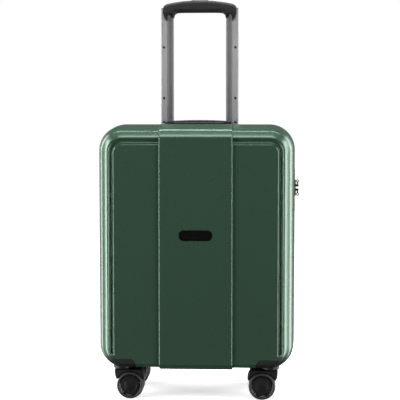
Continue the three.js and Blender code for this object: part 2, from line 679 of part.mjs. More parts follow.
// Round nose towards the middle of the case, flat tail inside the channel.
function tubePlan(side, spare = 0) {
  const shoulder = LEG_OUT - CHANNEL_WIDTH - RUN + spare;
  const tail = LEG_OUT - CHANNEL_WALL - RUN + spare;
  const [nose, flat] = [NOSE_RADIUS + spare, CHANNEL_DEPTH / 2 - CHANNEL_WALL - RUN + spare];
  const arc = Array.from({ length: 9 }, (_, i) => Math.PI / 2 + (i * Math.PI) / 8).map((a) =>
    [ROD_X + nose * Math.cos(a), nose * Math.sin(a)]);
  const back = [[shoulder, -nose], [shoulder, -flat], [tail, -flat], [tail, flat], [shoulder, flat]];
  return mirrored([[shoulder, nose], ...arc, ...back], side);
}

function legPlan(side, spare) {
  const y = CHANNEL_DEPTH / 2 + spare;
  return roundRect(span(side, LEG_IN - spare, LEG_OUT + spare), [-y, y], 2 + spare);
}

function outerTube(side) {
  const bore = raise(legPlan(side, RUN + 0.2), 0, GRIP_TOP);
  return cut(raise(legPlan(side, RUN + 0.2 + OUTER_TUBE_WALL), TUBE_REST, BEZEL_WELL - RUN), bore);
}

function channel(side) {
  const holes = [0, ...LOCK_STEPS].map((step) =>
    bar("y", LOCK_HOLE_RADIUS, [side * PIN_X, 0, PIN_Z + step], -CHANNEL_DEPTH, 0, 12));
  return cut(raise(channelPlan(side), CHANNEL_END, CHANNEL_TOP), ...holes);
}

function innerTube(side) {
  const pinHole = bar("y", PIN_RADIUS + RUN, [side * PIN_X, 0, PIN_Z], -CHANNEL_DEPTH, 0, 12);
  const bore = raise(tubePlan(side, -TUBE_WALL), 0, GRIP_TOP);
  return cut(raise(tubePlan(side), TUBE_END, TUBE_TOP), bore, pinHole);
}

// End fitting between the tube and the grip, bored for the release rod.
function ferrule(side) {
  const rodHole = bar("z", ROD_RADIUS + 1, [side * ROD_X, 0, 0], 0, GRIP_TOP, 12);
  return cut(raise(tubePlan(side), TUBE_TOP + RUN, TUBE_TOP + FERRULE_LENGTH), rodHole);
}

function lockPin(side) {
  const tip = -(CHANNEL_DEPTH / 2 - CHANNEL_WALL - RUN);
  return bar("y", PIN_RADIUS, [side * PIN_X, 0, PIN_Z], tip, tip + PIN_LENGTH, 12);
}

// Front view of the whole grip: arched top, wings outside the legs, an arch over each leg's nose.
function gripOutline() {
  const top = GRIP_TOP;
  const [wing, low] = [top - GRIP_WING, top - GRIP_HEIGHT];
  const [edge, mouth] = [LEG_OUT - CHANNEL_WALL - 0.8, LEG_OUT - CHANNEL_WIDTH];
  const right = [
    [BUTTON_WIDTH / 2, top], [LEG_IN + 2, top - GRIP_DROOP + 1], [LEG_OUT - 8, top - GRIP_DROOP - 3],
    [edge, top - 17], [edge - 0.6, top - 27], [LEG_OUT - 8, top - 37],
    [mouth + 2, wing], [mouth + 0.4, wing], [mouth, top - 34], [mouth - 2.4, top - 28.5],
    [ROD_X - 1, top - 26.4],
    [LEG_IN + 1.4, top - 29], [LEG_IN, top - 35], [LEG_IN - GRIP_SHOULDER, low - 2.4], [LEG_IN - 8, low],
  ];
  const left = right.map(([x, z]) => [-x, z]).reverse();
  return new THREE.Shape([...right, ...left].map(([x, z]) => new THREE.Vector2(x, z)));
}

function gripUpper() {
  const half = GRIP_THICKNESS / 2;
  const whole = push(gripOutline(), half, -half);
  const split = GRIP_TOP - GRIP_SPLIT;
  const palm = box([-LEG_IN + 2.5, LEG_IN - 2.5], [-half - 1, half + 1], [split - 40, split]);
  const room = CHANNEL_DEPTH / 2 + RUN;
  const channels = [-1, 1].map((side) =>
    box(span(side, LEG_OUT - CHANNEL_WIDTH - RUN, LEG_OUT + 5), [-room, room], [0, CHANNEL_TOP + RUN]));
  const ferrules = [-1, 1].map((side) => raise(tubePlan(side, RUN), 0, TUBE_TOP + FERRULE_LENGTH + RUN));
  const buttonRoom = box([-BUTTON_WIDTH / 2 - RUN, BUTTON_WIDTH / 2 + RUN],
    [-BUTTON_THICKNESS / 2 - RUN, BUTTON_THICKNESS / 2 + RUN], [split - 1, GRIP_TOP + 5]);
  const yokeRoom = box([-ROD_X - 4, ROD_X + 4], [-4, 4], [TUBE_TOP + 5, YOKE_TOP + 1]);
  return cut(whole, palm, ...channels, ...ferrules, buttonRoom, yokeRoom);
}

function gripLower() {
  const half = GRIP_THICKNESS / 2;
  const split = GRIP_TOP - GRIP_SPLIT - FIT;
  const palm = box([-LEG_IN + 2.5 + FIT, LEG_IN - 2.5 - FIT], [-half - 1, half + 1], [split - 40, split]);
  return push(gripOutline(), half, -half).intersect(palm);
}

const YOKE_TOP = GRIP_TOP - GRIP_SPLIT + BUTTON_TRAVEL + 3.4;

function gripButton() {
  const [x, y] = [BUTTON_WIDTH / 2, BUTTON_THICKNESS / 2];
  return raise(roundRect([-x, x], [-y, y], 3), YOKE_TOP + RUN, GRIP_TOP + BUTTON_PROUD);
}

// Cross bar under the button, with a rod down each leg and a cam at its foot that works the leg's lock pin.
function releaseYoke() {
  const legs = [-1, 1].flatMap((side) => [
    bar("z", ROD_RADIUS, [side * ROD_X, 0, 0], TUBE_END + 2, YOKE_TOP - 1, 10),
    box(span(side, ROD_X, PIN_X + 2), [-2, 2], [PIN_Z + CAM_OVER_PIN, PIN_Z + CAM_OVER_PIN + CAM_HEIGHT]),
  ]);
  return join(box([-ROD_X - 2.5, ROD_X + 2.5], [-3, 3], [YOKE_TOP - 3, YOKE_TOP]), ...legs);
}

// Black housing set into the top rear edge: a dish that takes the grip, over a well and a socket for each leg.
function trolleyBezel() {
  const half = GRIP_THICKNESS / 2;
  const block = turned(solid(envelope(-0.8)))
    .intersect(box([-BEZEL_HALF, BEZEL_HALF], [BEZEL_FRONT, 2 * FACE], [BEZEL_LOW, 2 * CASE_TOP]));
  const near = [TROLLEY_Y - half - 1, TROLLEY_Y + half + 1];
  const dish = box([-LEG_OUT - 1.6, LEG_OUT + 1.6], near, [BEZEL_FLOOR, 2 * CASE_TOP]);
  const legs = [-1, 1].flatMap((side) => {
    return [
      box(span(side, LEG_IN - GRIP_SHOULDER - FIT, LEG_OUT + 1), near, [BEZEL_WELL, 2 * CASE_TOP]),
      raise(legPlan(side, RUN + 0.2 + OUTER_TUBE_WALL + FIT), 0, CASE_TOP).translate([0, TROLLEY_Y, 0]),
    ];
  });
  const relief = box([-LEG_IN + 6, LEG_IN - 6], [BEZEL_FRONT - 1, TROLLEY_Y + half],
    [BEZEL_LOW - 1, BEZEL_FLOOR - 3]);
  return cut(block, dish, ...legs, relief);
}

function trolleyFoot() {
  const grow = RUN + 0.2 + OUTER_TUBE_WALL + FIT;
  const sockets = [-1, 1].map((side) => raise(legPlan(side, grow), TUBE_REST - FIT, CASE_TOP));
  const half = [LEG_OUT + grow + 2.5, CHANNEL_DEPTH / 2 + grow + 2.5];
  const plate = box([-half[0], half[0]], [-half[1], half[1]], [CASE_BOTTOM, TUBE_REST + 14]);
  const relief = box([-LEG_IN + 5, LEG_IN - 5], [-20, 20], [TUBE_REST + 3, CASE_TOP]);
  const room = turned(solid(envelope(-WALL - FIT))).translate([0, -TROLLEY_Y, 0]);
  return cut(plate, ...sockets, relief).intersect(room);
}

// ---------------------------------------------------------------- linings

// A cloth tray along the inside of a half shell, over the caster housings and clear of what the wall carries.
function lining(room, depth) {
  const floor = CASE_BOTTOM + HOUSING_HEIGHT + 4;
  const outer = solid(envelope(-room, RIM + 1, floor, depth + room));
  const inner = solid(envelope(-room - LINING, RIM - 2, floor + LINING, depth + room));
  return cut(outer, inner);
}

const frontLining = () => lining(WALL + LINING_CLEAR, SHELL_DEPTH - GROOVE_DEPTH - WALL - LINING_CLEAR);

function rearLining() {
  const tubesNear = TROLLEY_Y - CHANNEL_DEPTH / 2 - RUN - 0.2 - OUTER_TUBE_WALL;
  const room = Math.max(LOCK_DEPTH, TRAY_DEPTH + HANDLE_TRAVEL + LEG_BLOCK.foot) + LINING_CLEAR;
  const depth = Math.min(tubesNear, BEZEL_FRONT) - RIM - LINING_CLEAR;
  return turned(lining(room, depth));
}

// ---------------------------------------------------------------- assembly

const suitcase = new THREE.Group();

function group(parent, x = 0, y = 0, z = 0) {
  const made = new THREE.Group();
  made.position.set(x, y, z);
  parent.add(made);
  return made;
}

function part(parent, name, shape, material) {
  const mesh = new THREE.Mesh(geometryOf(shape), material);
  mesh.name = name;
  parent.add(mesh);
  return mesh;
}

const SIDES = [["left", -1], ["right", 1]];
const rearCase = group(suitcase);
const frontCase = group(suitcase);
const trolley = group(suitcase, 0, TROLLEY_Y, 0);

part(frontCase, "front_shell", frontShell(), GREEN);
part(frontCase, "badge", badge(), BADGE);
part(frontCase, "front_zip_tape", zipTape(-1), TAPE);
part(frontCase, "front_hinge_tape", hingeTape(-1), TAPE);
part(frontCase, "front_lining", frontLining(), FABRIC);

part(rearCase, "rear_shell", rearShell(), GREEN);
part(rearCase, "rear_zip_tape", zipTape(1), TAPE);
part(rearCase, "rear_hinge_tape", hingeTape(1), TAPE);
part(rearCase, "rear_lining", rearLining(), FABRIC);
part(rearCase, "trolley_bezel", trolleyBezel(), BLACK);
part(rearCase, "top_handle_plate", topPlate(), BLACK);
part(rearCase, "top_handle", topHandle(), BLACK);
part(rearCase, "side_handle_tray", sideTray(), BLACK);
part(rearCase, "side_handle", sideHandle(), BLACK);

part(rearCase, "lock_body", lockBody(), BLACK);
for (const n of [0, 1, 2]) part(rearCase, "lock_dial_" + (n + 1), lockDial(n), STEEL);
part(rearCase, "lock_button", lockButton(), GLOSS_BLACK);
part(rearCase, "lock_key_cylinder", keyCylinder(), STEEL);
for (const [name, way] of [["upper", 1], ["lower", -1]]) {
  part(rearCase, name + "_zip_slider", zipSlider(way), STEEL);
  part(rearCase, name + "_zip_pull", zipPull(way), STEEL);
}

part(trolley, "trolley_foot", trolleyFoot(), BLACK);
part(trolley, "grip_upper", gripUpper(), BLACK);
part(trolley, "grip_lower", gripLower(), BLACK);
part(trolley, "grip_button", gripButton(), STEEL);
part(trolley, "release_yoke", releaseYoke(), STEEL);
for (const [name, side] of SIDES) {
  part(trolley, name + "_outer_tube", outerTube(side), DARK_ALUMINIUM);
  part(trolley, name + "_channel", channel(side), ALUMINIUM);
  part(trolley, name + "_inner_tube", innerTube(side), DARK_ALUMINIUM);
  part(trolley, name + "_ferrule", ferrule(side), STEEL);
  part(trolley, name + "_lock_pin", lockPin(side), STEEL);
}

// Four casters. Their wheels trail towards the middle of the case.
for (const [end, parent, turn] of [["front", frontCase, 0], ["rear", rearCase, Math.PI]])
  for (const [name, side] of SIDES) {
    const corner = end + "_" + name;
    const half = group(parent);
    half.rotation.z = turn;
    part(half, corner + "_caster_housing", casterHousing(turn ? -side : side), BLACK);
    const caster = group(parent, side * CASTER_X, (turn ? 1 : -1) * CASTER_Y, 0);
    caster.rotation.z = side < 0 ? 0 : Math.PI;
    part(caster, corner + "_fork", casterFork(), BLACK);
    const wheels = group(caster, TRAIL, 0, WHEEL_RADIUS);
    part(wheels, corner + "_axle", axle(), STEEL);
    part(wheels, corner + "_outer_wheel", wheel(side * (turn ? -1 : 1)), TYRE);
    part(wheels, corner + "_inner_wheel", wheel(side * (turn ? 1 : -1)), TYRE);
  }

export default suitcase;
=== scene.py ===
"""A cabin-size hard shell suitcase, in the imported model's frame. Pieces are designed in millimetres."""

import json
import math

import bmesh
import bpy
import numpy as np
from mathutils import Matrix, Vector
from mathutils.geometry import tessellate_polygon
from mathutils.noise import noise as noise_at


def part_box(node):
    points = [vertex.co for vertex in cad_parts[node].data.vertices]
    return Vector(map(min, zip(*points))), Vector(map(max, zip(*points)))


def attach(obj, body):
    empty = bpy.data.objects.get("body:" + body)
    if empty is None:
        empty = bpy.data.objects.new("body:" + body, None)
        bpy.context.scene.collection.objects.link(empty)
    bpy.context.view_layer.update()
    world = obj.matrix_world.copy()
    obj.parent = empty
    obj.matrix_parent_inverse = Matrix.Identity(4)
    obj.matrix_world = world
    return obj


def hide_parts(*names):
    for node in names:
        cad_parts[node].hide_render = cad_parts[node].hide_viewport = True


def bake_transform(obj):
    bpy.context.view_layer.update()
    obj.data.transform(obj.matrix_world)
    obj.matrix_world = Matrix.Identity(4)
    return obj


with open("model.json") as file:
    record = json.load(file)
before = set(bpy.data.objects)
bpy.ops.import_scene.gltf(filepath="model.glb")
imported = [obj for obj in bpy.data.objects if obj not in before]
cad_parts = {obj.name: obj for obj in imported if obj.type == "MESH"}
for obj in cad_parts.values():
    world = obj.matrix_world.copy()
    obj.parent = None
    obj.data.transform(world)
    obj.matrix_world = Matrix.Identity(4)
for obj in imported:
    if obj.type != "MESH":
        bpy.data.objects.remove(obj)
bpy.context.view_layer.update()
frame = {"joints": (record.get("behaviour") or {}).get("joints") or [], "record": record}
MM = 0.001


# ---- places, from the frame


def box_mm(node):
    """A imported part's lowest and highest corner in millimetres."""
    low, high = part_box(node)
    return low / MM, high / MM


def joint_place(name):
    """A hinge's place in millimetres."""
    return Vector(next(j["pos_m"] for j in frame["joints"] if j["name"] == name)) / MM


SHELL_LOW, SHELL_HIGH = box_mm("front_shell")
BAND_RAISE = 3.5  # of the middle band above the shell beside it
HALF = SHELL_HIGH.x  # half the case's width
RIM = -SHELL_HIGH.y  # depths count from the plane between the two halves
FACE = -SHELL_LOW.y - BAND_RAISE
BOTTOM = SHELL_LOW.z + BAND_RAISE
TOP = SHELL_HIGH.z - BAND_RAISE
CORNER = 50
TOP_EASE = 1.15  # how far the top edge comes in for each millimetre of inset at the sides
BOTTOM_EASE = 0.6
WALL = 2.5
GROOVE_FOOT = 31  # where the framing groove ends, above the bottom
SIDES = (("left", -1), ("right", 1))
ENDS = (("front", -1), ("rear", 1))


# ---- mesh tools


def linked(name, data):
    """A new object in the scene."""
    obj = bpy.data.objects.new(name, data)
    bpy.context.scene.collection.objects.link(obj)
    return obj


def new_object(name, verts, faces):
    """An object from vertices in millimetres."""
    mesh = bpy.data.meshes.new(name)
    mesh.from_pydata([Vector(v) * MM for v in verts], [], faces)
    mesh.validate()
    return linked(name, mesh)


def modify(obj, kind, **settings):
    modifier = obj.modifiers.new(kind.lower(), kind)
    for key, value in settings.items():
        setattr(modifier, key, value)


def applied(obj):
    """Applies the object's modifiers."""
    graph = bpy.context.evaluated_depsgraph_get()
    graph.update()
    mesh = bpy.data.meshes.new_from_object(obj.evaluated_get(graph))
    old = obj.data
    obj.modifiers.clear()
    obj.data = mesh
    bpy.data.meshes.remove(old)
    return obj


def fix_normals(obj):
    work = bmesh.new()
    work.from_mesh(obj.data)
    bmesh.ops.recalc_face_normals(work, faces=work.faces)
    work.to_mesh(obj.data)
    work.free()
    return obj


def boolean(obj, others, operation="DIFFERENCE"):
    """Cuts, joins or intersects with other objects, which are used up."""
    for other in others:
        modify(obj, "BOOLEAN", operation=operation, solver="MANIFOLD", object=other)
    applied(obj)
    for other in others:
        bpy.data.objects.remove(other)
    return obj


def bevel(obj, width, segments=3, angle=35):
    """Rounds the edges that are sharper than an angle."""
    modify(obj, "BEVEL", width=width * MM, segments=segments, limit_method="ANGLE",
           angle_limit=math.radians(angle), harden_normals=False)
    return applied(obj)


def smooth(obj, angle=32):
    mesh = obj.data
    mesh.polygons.foreach_set("use_smooth", [True] * len(mesh.polygons))
    mesh.set_sharp_from_angle(angle=math.radians(angle))
    return obj


def thicken(obj, thickness, offset=0):
    """Gives a surface a thickness: about its middle, or inwards with offset -1."""
    modify(obj, "SOLIDIFY", thickness=thickness * MM, offset=offset)
    return applied(obj)


def turned(obj):
    """Half a turn about the case's upright middle: front half to rear half."""
    obj.data.transform(Matrix.Rotation(math.pi, 4, "Z"))
    return obj


def block(x, y, z):
    corners = [(a, b, c) for c in z for b in y for a in x]
    faces = [(0, 2, 3, 1), (4, 5, 7, 6), (0, 1, 5, 4), (2, 6, 7, 3), (0, 4, 6, 2), (1, 3, 7, 5)]
    return new_object("block", corners, faces)


def join_rings(faces, first, second, count):
    """Adds the faces between two rings of points, given by the numbers that they start at."""
    for i in range(count):
        j = (i + 1) % count
        faces.append((first + i, first + j, second + j, second + i))


def prism(outline, low, high, place):
    """An outline of (a, b) points drawn from low to high; place turns (a, b, c) into (x, y, z)."""
    n = len(outline)
    verts = [place(a, b, c) for c in (low, high) for a, b in outline]
    faces = [tuple(reversed(range(n))), tuple(range(n, 2 * n))]
    join_rings(faces, 0, n, n)
    return fix_normals(new_object("prism", verts, faces))


def along_z(a, b, c):
    return a, b, c


def along_y(a, b, c):
    return a, c, b


def along_x(a, b, c):
    return c, a, b


def inward(outline):
    """A unit vector into the shape at each point of a closed outline."""
    points = np.array(outline, float)
    before, after = np.roll(points, 1, 0), np.roll(points, -1, 0)
    along = after - before
    area = np.sum(points[:, 0] * after[:, 1] - after[:, 0] * points[:, 1])
    normals = np.stack([-along[:, 1], along[:, 0]], 1) * (1 if area > 0 else -1)
    return normals / np.maximum(np.linalg.norm(normals, axis=1), 1e-9)[:, None]


def soft_prism(outline, low, high, place, radius, insets=None, steps=4):
    """A prism with both end edges rounded over.

    insets gives each point's own rounding across the outline.
    """
    points, normals = np.array(outline, float), inward(outline)
    insets = np.full(len(points), radius) if insets is None else np.array(insets)
    n, verts, faces = len(points), [], []
    angles = [math.radians(90 * k / steps) for k in range(steps + 1)]
    levels = [(low + radius * (1 - math.sin(a)), 1 - math.cos(a)) for a in reversed(angles)]
    levels += [(high - radius * (1 - math.sin(a)), 1 - math.cos(a)) for a in angles]
    for c, share in levels:
        verts += [place(a, b, c) for a, b in points + normals * (insets * share)[:, None]]
    for k in range(len(levels) - 1):
        join_rings(faces, k * n, (k + 1) * n, n)
    end = points + normals * insets[:, None]
    triangles = tessellate_polygon([[Vector((a, b, 0)) for a, b in end]])
    for start in (0, len(verts) - n):
        faces += [tuple(start + i for i in triangle) for triangle in triangles]
    return fix_normals(new_object("soft_prism", verts, faces))


def softened(points, times=2):
    """Cuts the corners of a closed outline."""
    points = np.array(points, float)
    for _ in range(times):
        after = np.roll(points, -1, 0)
        points = np.stack([0.75 * points + 0.25 * after, 0.25 * points + 0.75 * after], 1).reshape(-1, 2)
    return [tuple(p) for p in points]


def arc(cx, cy, radius, start, end, steps=8):
    """Points on an arc, angles in degrees."""
    for i in range(steps + 1):
        angle = math.radians(start + (end - start) * i / steps)
        yield cx + radius * math.cos(angle), cy + radius * math.sin(angle)


def round_rect(a, b, radius, steps=8):
    """A rectangle with round corners from its two ranges."""
    near, far, low, high = a[0] + radius, a[1] - radius, b[0] + radius, b[1] - radius
    points = []
    for cx, cy, start in ((far, low, -90), (far, high, 0), (near, high, 90), (near, low, 180)):
        points += arc(cx, cy, radius, start, start + 90, steps)
    return points


def lathe(profile, steps, place):
    """A closed (radius, along) profile turned about an axis.

    place turns (across, up, along) into (x, y, z).
    """
    verts, faces, rows = [], [], len(profile)
    for i in range(steps):
        angle = 2 * math.pi * i / steps
        verts += [place(r * math.cos(angle), r * math.sin(angle), t) for r, t in profile]
        join_rings(faces, i * rows, (i + 1) % steps * rows, rows)
    obj = new_object("lathe", verts, faces)
    work = bmesh.new()
    work.from_mesh(obj.data)
    bmesh.ops.remove_doubles(work, verts=work.verts, dist=1e-6)
    bmesh.ops.dissolve_degenerate(work, edges=work.edges, dist=1e-7)
    bmesh.ops.recalc_face_normals(work, faces=work.faces)
    work.to_mesh(obj.data)
    work.free()
    return obj


def about(axis, centre, way=1):
    """Places a lathe's turns about the y or z axis through a centre."""
    x, y, z = centre
    if axis == "z":
        return lambda a, b, c: (x + a, y + b, z + c)
    return lambda a, b, c: (x + a, y + way * c, z + b)


def rod(axis, centre, radius, low, high, steps=32):
    """A cylinder along an axis; low and high count from the centre's own place on it."""
    return lathe([(0, low), (radius, low), (radius, high), (0, high)], steps, about(axis, centre))


def bezier(p0, p1, p2, p3, steps):
    """Points on a cubic after its first."""
    for i in range(1, steps + 1):
        t = i / steps
        k = ((1 - t) ** 3, 3 * t * (1 - t) ** 2, 3 * t * t * (1 - t), t**3)
        yield tuple(sum(w * p[axis] for w, p in zip(k, (p0, p1, p2, p3))) for axis in (0, 1))


def ease(value):
    value = min(max(value, 0), 1)
    return value * value * (3 - 2 * value)


# ---- materials


NOISE_RANGE = (0.3, 0.7)  # where most of a noise's values are


class Nodes:
    """A material's node tree, with short ways to add to it."""

    def __init__(self, name, color, roughness, metallic=0.0, **shader):
        self.material = bpy.data.materials.new(name)
        self.material.use_nodes = True
        self.tree = self.material.node_tree
        self.shader = self.tree.nodes["Principled BSDF"]
        self.color, self.roughness, self.height = (*color, 1), roughness, None
        shader.update(base_color=self.color, roughness=roughness, metallic=metallic)
        for key, value in shader.items():
            self.set(self.shader, key.replace("_", " ").title().replace("Ior", "IOR"), value)

    def set(self, node, socket, value):
        node.inputs[socket].default_value = value

    def add(self, kind, **inputs):
        node = self.tree.nodes.new("ShaderNode" + kind)
        for key, value in inputs.items():
            self.put(node.inputs[key.replace("_", " ")], value)
        return node

    def put(self, socket, value):
        if isinstance(value, bpy.types.NodeSocket):
            self.tree.links.new(value, socket)
        else:
            socket.default_value = value

    def place(self, scale=(1, 1, 1)):
        """The piece's own coordinates in metres, scaled."""
        coordinates = self.add("TexCoord")
        mapping = self.add("Mapping", Vector=coordinates.outputs["Object"], Scale=scale)
        return mapping.outputs["Vector"]

    def noise(self, scale, detail=3.0, stretch=(1, 1, 1)):
        node = self.add("TexNoise", Vector=self.place(stretch), Scale=scale, Detail=detail)
        self.set(node, "Roughness", 0.55)
        return node.outputs["Fac"]

    def ranged(self, value, start, end, low, high):
        """Moves a value from one range to another and keeps it there."""
        node = self.add("MapRange", Value=value)
        for socket, limit in zip(("From Min", "From Max", "To Min", "To Max"), (start, end, low, high)):
            self.set(node, socket, limit)
        return node.outputs["Result"]

    def math(self, operation, first, second=None):
        node = self.add("Math")
        node.operation = operation
        self.put(node.inputs[0], first)
        if second is not None:
            self.put(node.inputs[1], second)
        return node.outputs[0]

    def vary_color(self, value, amount):
        """Darkens and lightens the colour by a share."""
        ramp = self.add("ValToRGB", Fac=value)
        stops = zip(ramp.color_ramp.elements, (1 - amount, 1 + amount), NOISE_RANGE)
        for element, side, position in stops:
            element.color = (*(c * side for c in self.color[:3]), 1)
            element.position = position
        self.put(self.shader.inputs["Base Color"], ramp.outputs["Color"])
        return self

    def paint_shade_inward(self, dark, full):
        """Painted shade: a darker colour towards the middle of the case, between two distances from it in
        millimetres, where a rounded nose turns away from the lights.
        """
        split = self.add("SeparateXYZ", Vector=self.add("TexCoord").outputs["Object"])
        away = self.math("ABSOLUTE", split.outputs["X"])
        both = self.add("VectorMath")
        both.operation = "SCALE"
        color = self.shader.inputs["Base Color"]
        self.put(both.inputs[0], color.links[0].from_socket)
        self.put(both.inputs["Scale"], self.ranged(away, dark * MM, full * MM, 0.25, 1.0))
        self.put(color, both.outputs[0])
        return self

    def vary_roughness(self, value, amount):
        spread = self.ranged(value, *NOISE_RANGE, self.roughness - amount, self.roughness + amount)
        self.put(self.shader.inputs["Roughness"], spread)
        return self

    def bump(self, value, distance, strength=1.0):
        """Adds a bump of a distance in millimetres."""
        node = self.add("Bump", Height=value, Distance=distance * MM, Strength=strength)
        if self.height:
            self.put(node.inputs["Normal"], self.height)
        self.height = node.outputs["Normal"]
        self.put(self.shader.inputs["Normal"], self.height)
        return self


def textured(made, mottle, wear, grain):
    """Uneven colour and roughness, each (scale, detail, amount), and a bump with a strength too."""
    made.vary_color(made.noise(*mottle[:2]), mottle[2])
    made.vary_roughness(made.noise(*wear[:2]), wear[2])
    made.bump(made.noise(*grain[:2]), *grain[2:])
    return made.material


def satin_shell():
    """Green polycarbonate film with a fine pressed grain and a faint pearl."""
    made = Nodes("green_shell", (0.041, 0.089, 0.056), 0.28, 0.45,
                 coat_weight=0.4, coat_roughness=0.17, coat_ior=1.55)
    return textured(made, (700, 4, 0.05), (35, 3, 0.015), (1500, 2, 0.003, 0.3))


def moulded_plastic(name, color=(0.0095, 0.0095, 0.0097), roughness=0.52, grain=0.03, shine=0.3):
    made = Nodes(name, color, roughness, specular_ior_level=shine)
    return textured(made, (60, 4, 0.18), (140, 3, 0.06), (1700, 2, grain, 0.5))


def tyre_rubber():
    made = Nodes("tyre_rubber", (0.011, 0.011, 0.0115), 0.55)
    return textured(made, (120, 4, 0.25), (70, 4, 0.1), (900, 3, 0.03, 0.5))


def drawn_metal(name, color, roughness, stretch=(1, 1, 0.02), metallic=1.0, shade=None):
    """Extruded or drawn metal with fine lines along one way."""
    made = Nodes(name, color, roughness, metallic)
    lines = made.noise(1400, 3, stretch)
    made.vary_color(made.noise(25, 3), 0.05)
    made.vary_roughness(lines, 0.06)
    made.bump(lines, 0.01, 0.3)
    # painted shade towards the middle of the case, over the rounded noses of the inner legs
    if shade:
        made.paint_shade_inward(*shade)
    return made.material


def woven(name, color, pitch, sheen=0.2):
    """Plain weave with a pitch in millimetres."""
    made = Nodes(name, color, 0.85, 0.0, sheen_weight=sheen, sheen_roughness=0.5)
    place = made.place()
    threads = []
    for direction in ("X", "Y", "Z"):
        wave = made.add("TexWave", Vector=place, Scale=0.314 / (pitch * MM), Distortion=0.4)
        wave.bands_direction = direction
        threads.append(wave.outputs["Fac"])
    weave = made.math("MAXIMUM", made.math("MULTIPLY", threads[0], threads[2]), threads[1])
    made.vary_color(made.noise(90, 4), 0.2)
    made.bump(weave, 0.12, 0.6)
    return made.material


GREEN = satin_shell()
BLACK = moulded_plastic("black_plastic")
GRIP = moulded_plastic("grip_plastic", (0.007, 0.007, 0.0072), 0.5, 0.04)
SOFT = moulded_plastic("soft_touch", (0.013, 0.014, 0.013), 0.6, 0.06)
GLOSS = moulded_plastic("gloss_black", (0.008, 0.008, 0.0084), 0.1, 0.002, 0.8)
CAP = moulded_plastic("cap_black", (0.006, 0.006, 0.0063), 0.45, 0.02)
GREY = moulded_plastic("grey_plastic", (0.25, 0.25, 0.25), 0.35, 0.02)
LIGHT_METAL = drawn_metal("anodised_light", (0.25, 0.25, 0.25), 0.5, metallic=0.2)
# the inner legs and end fittings get painted shade towards the middle of the case
DARK_METAL = drawn_metal("anodised_dark", (0.17, 0.17, 0.17), 0.5, metallic=0.2, shade=(57, 66))
GUNMETAL = drawn_metal("gunmetal", (0.075, 0.075, 0.08), 0.32, (1, 1, 1))
STEEL = drawn_metal("steel", (0.4, 0.4, 0.41), 0.3, (1, 1, 1))
BADGE = drawn_metal("badge_metal", (0.035, 0.035, 0.037), 0.32, (0.02, 1, 1))
TYRE = tyre_rubber()
TAPE = woven("zip_tape", (0.018, 0.03, 0.024), 0.7)
LINING = woven("lining_cloth", (0.035, 0.038, 0.04), 0.8, 0.35)


BODY_OF = {node: body for body, nodes in frame["record"]["behaviour"]["bodies"].items() for node in nodes}
SLOT_OF = {part["node"]: part["material_slot"] for part in frame["record"]["subparts"]}
SLOT_MATERIAL = {
    "shell_green": GREEN, "black_plastic": BLACK, "gloss_black": GLOSS, "aluminium_light": LIGHT_METAL,
    "aluminium_dark": DARK_METAL, "steel": STEEL, "grey_plastic": GREY, "gunmetal": GUNMETAL,
    "tyre": TYRE, "tape": TAPE, "lining": LINING, "badge": BADGE,
}


def piece(obj, name, body, slot, replaced=(), angle=32, material=None):
    """Names a finished mesh, gives it its material and fixes it to its body."""
    obj.name = obj.data.name = name
    smooth(obj, angle)
    obj.data.materials.clear()
    obj.data.materials.append(material or SLOT_MATERIAL[slot])
    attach(obj, body)
    if replaced:
        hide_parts(*replaced)
    return obj


# ---- half shells

CREASE = (11, 84.2)
GROOVE_START, GROOVE_END = 22, 29  # insets where the groove's two slopes start
GROOVE_DEPTH = 4.3


def shell_profile():
    """(inset, depth) from the rim to the flat panel, with a crease part way round the fillet."""
    points = [(0, 0), *bezier((0, 0), (0.5, 20), (1.4, 40), (2.2, 55), 5)]
    points += bezier((2.2, 55), (3.0, 66), (7.4, 76.5), (CREASE[0] - 0.35, CREASE[1] - 0.75), 11)
    points += [(CREASE[0] + 0.1, CREASE[1] - 0.12), (CREASE[0] + 0.8, CREASE[1] + 0.4)]
    points += bezier(points[-1], (15, 87.2), (19, 90.6), (22, 91.5), 9)
    points += [(22 + 0.8 * i, 91.5 - 0.3 * ease(i / 20)) for i in range(1, 21)]
    return points


def groove_depth(inset):
    """How deep the framing groove is at an inset."""
    if inset < GROOVE_END:
        share = min(max((inset - GROOVE_START) / 5.5, 0), 1)
        return GROOVE_DEPTH * (0.5 - 0.5 * math.cos(math.pi * share))
    share = min((inset - GROOVE_END) / 5.2, 1)
    return GROOVE_DEPTH * (0.5 + 0.5 * math.cos(math.pi * share))


# The band's edge: places across the case and the share of its raise there.
BAND_STEP = ((69, 1), (69.7, 0.965), (70.3, 0.88), (70.8, 0.74), (71.1, 0.55), (71.3, 0.3),
             (71.45, 0.08), (71.8, -0.03), (72.6, 0))
# Mesh columns inside the band and beside it; steps in half a corner; rows up a side.
OPEN_STATIONS = (0, 12, 24, 36, 48, 58, 65)
SIDE_STATIONS = (74, 79, 88, 99, 111, 123, 134)
HALF_ARC = 8
ROWS = 40


def band_weight(x):
    """How much of the band's raise there is at a place across the case."""
    return float(np.interp(abs(x), [s for s, _ in BAND_STEP], [w for _, w in BAND_STEP]))


def ring_sides(inset, grow):
    """The outline at an inset, as four rows of points."""
    low = BOTTOM + inset * BOTTOM_EASE - grow
    high = TOP - inset * TOP_EASE + grow
    return ring_rows(HALF - inset + grow, low, high, CORNER - inset + grow)


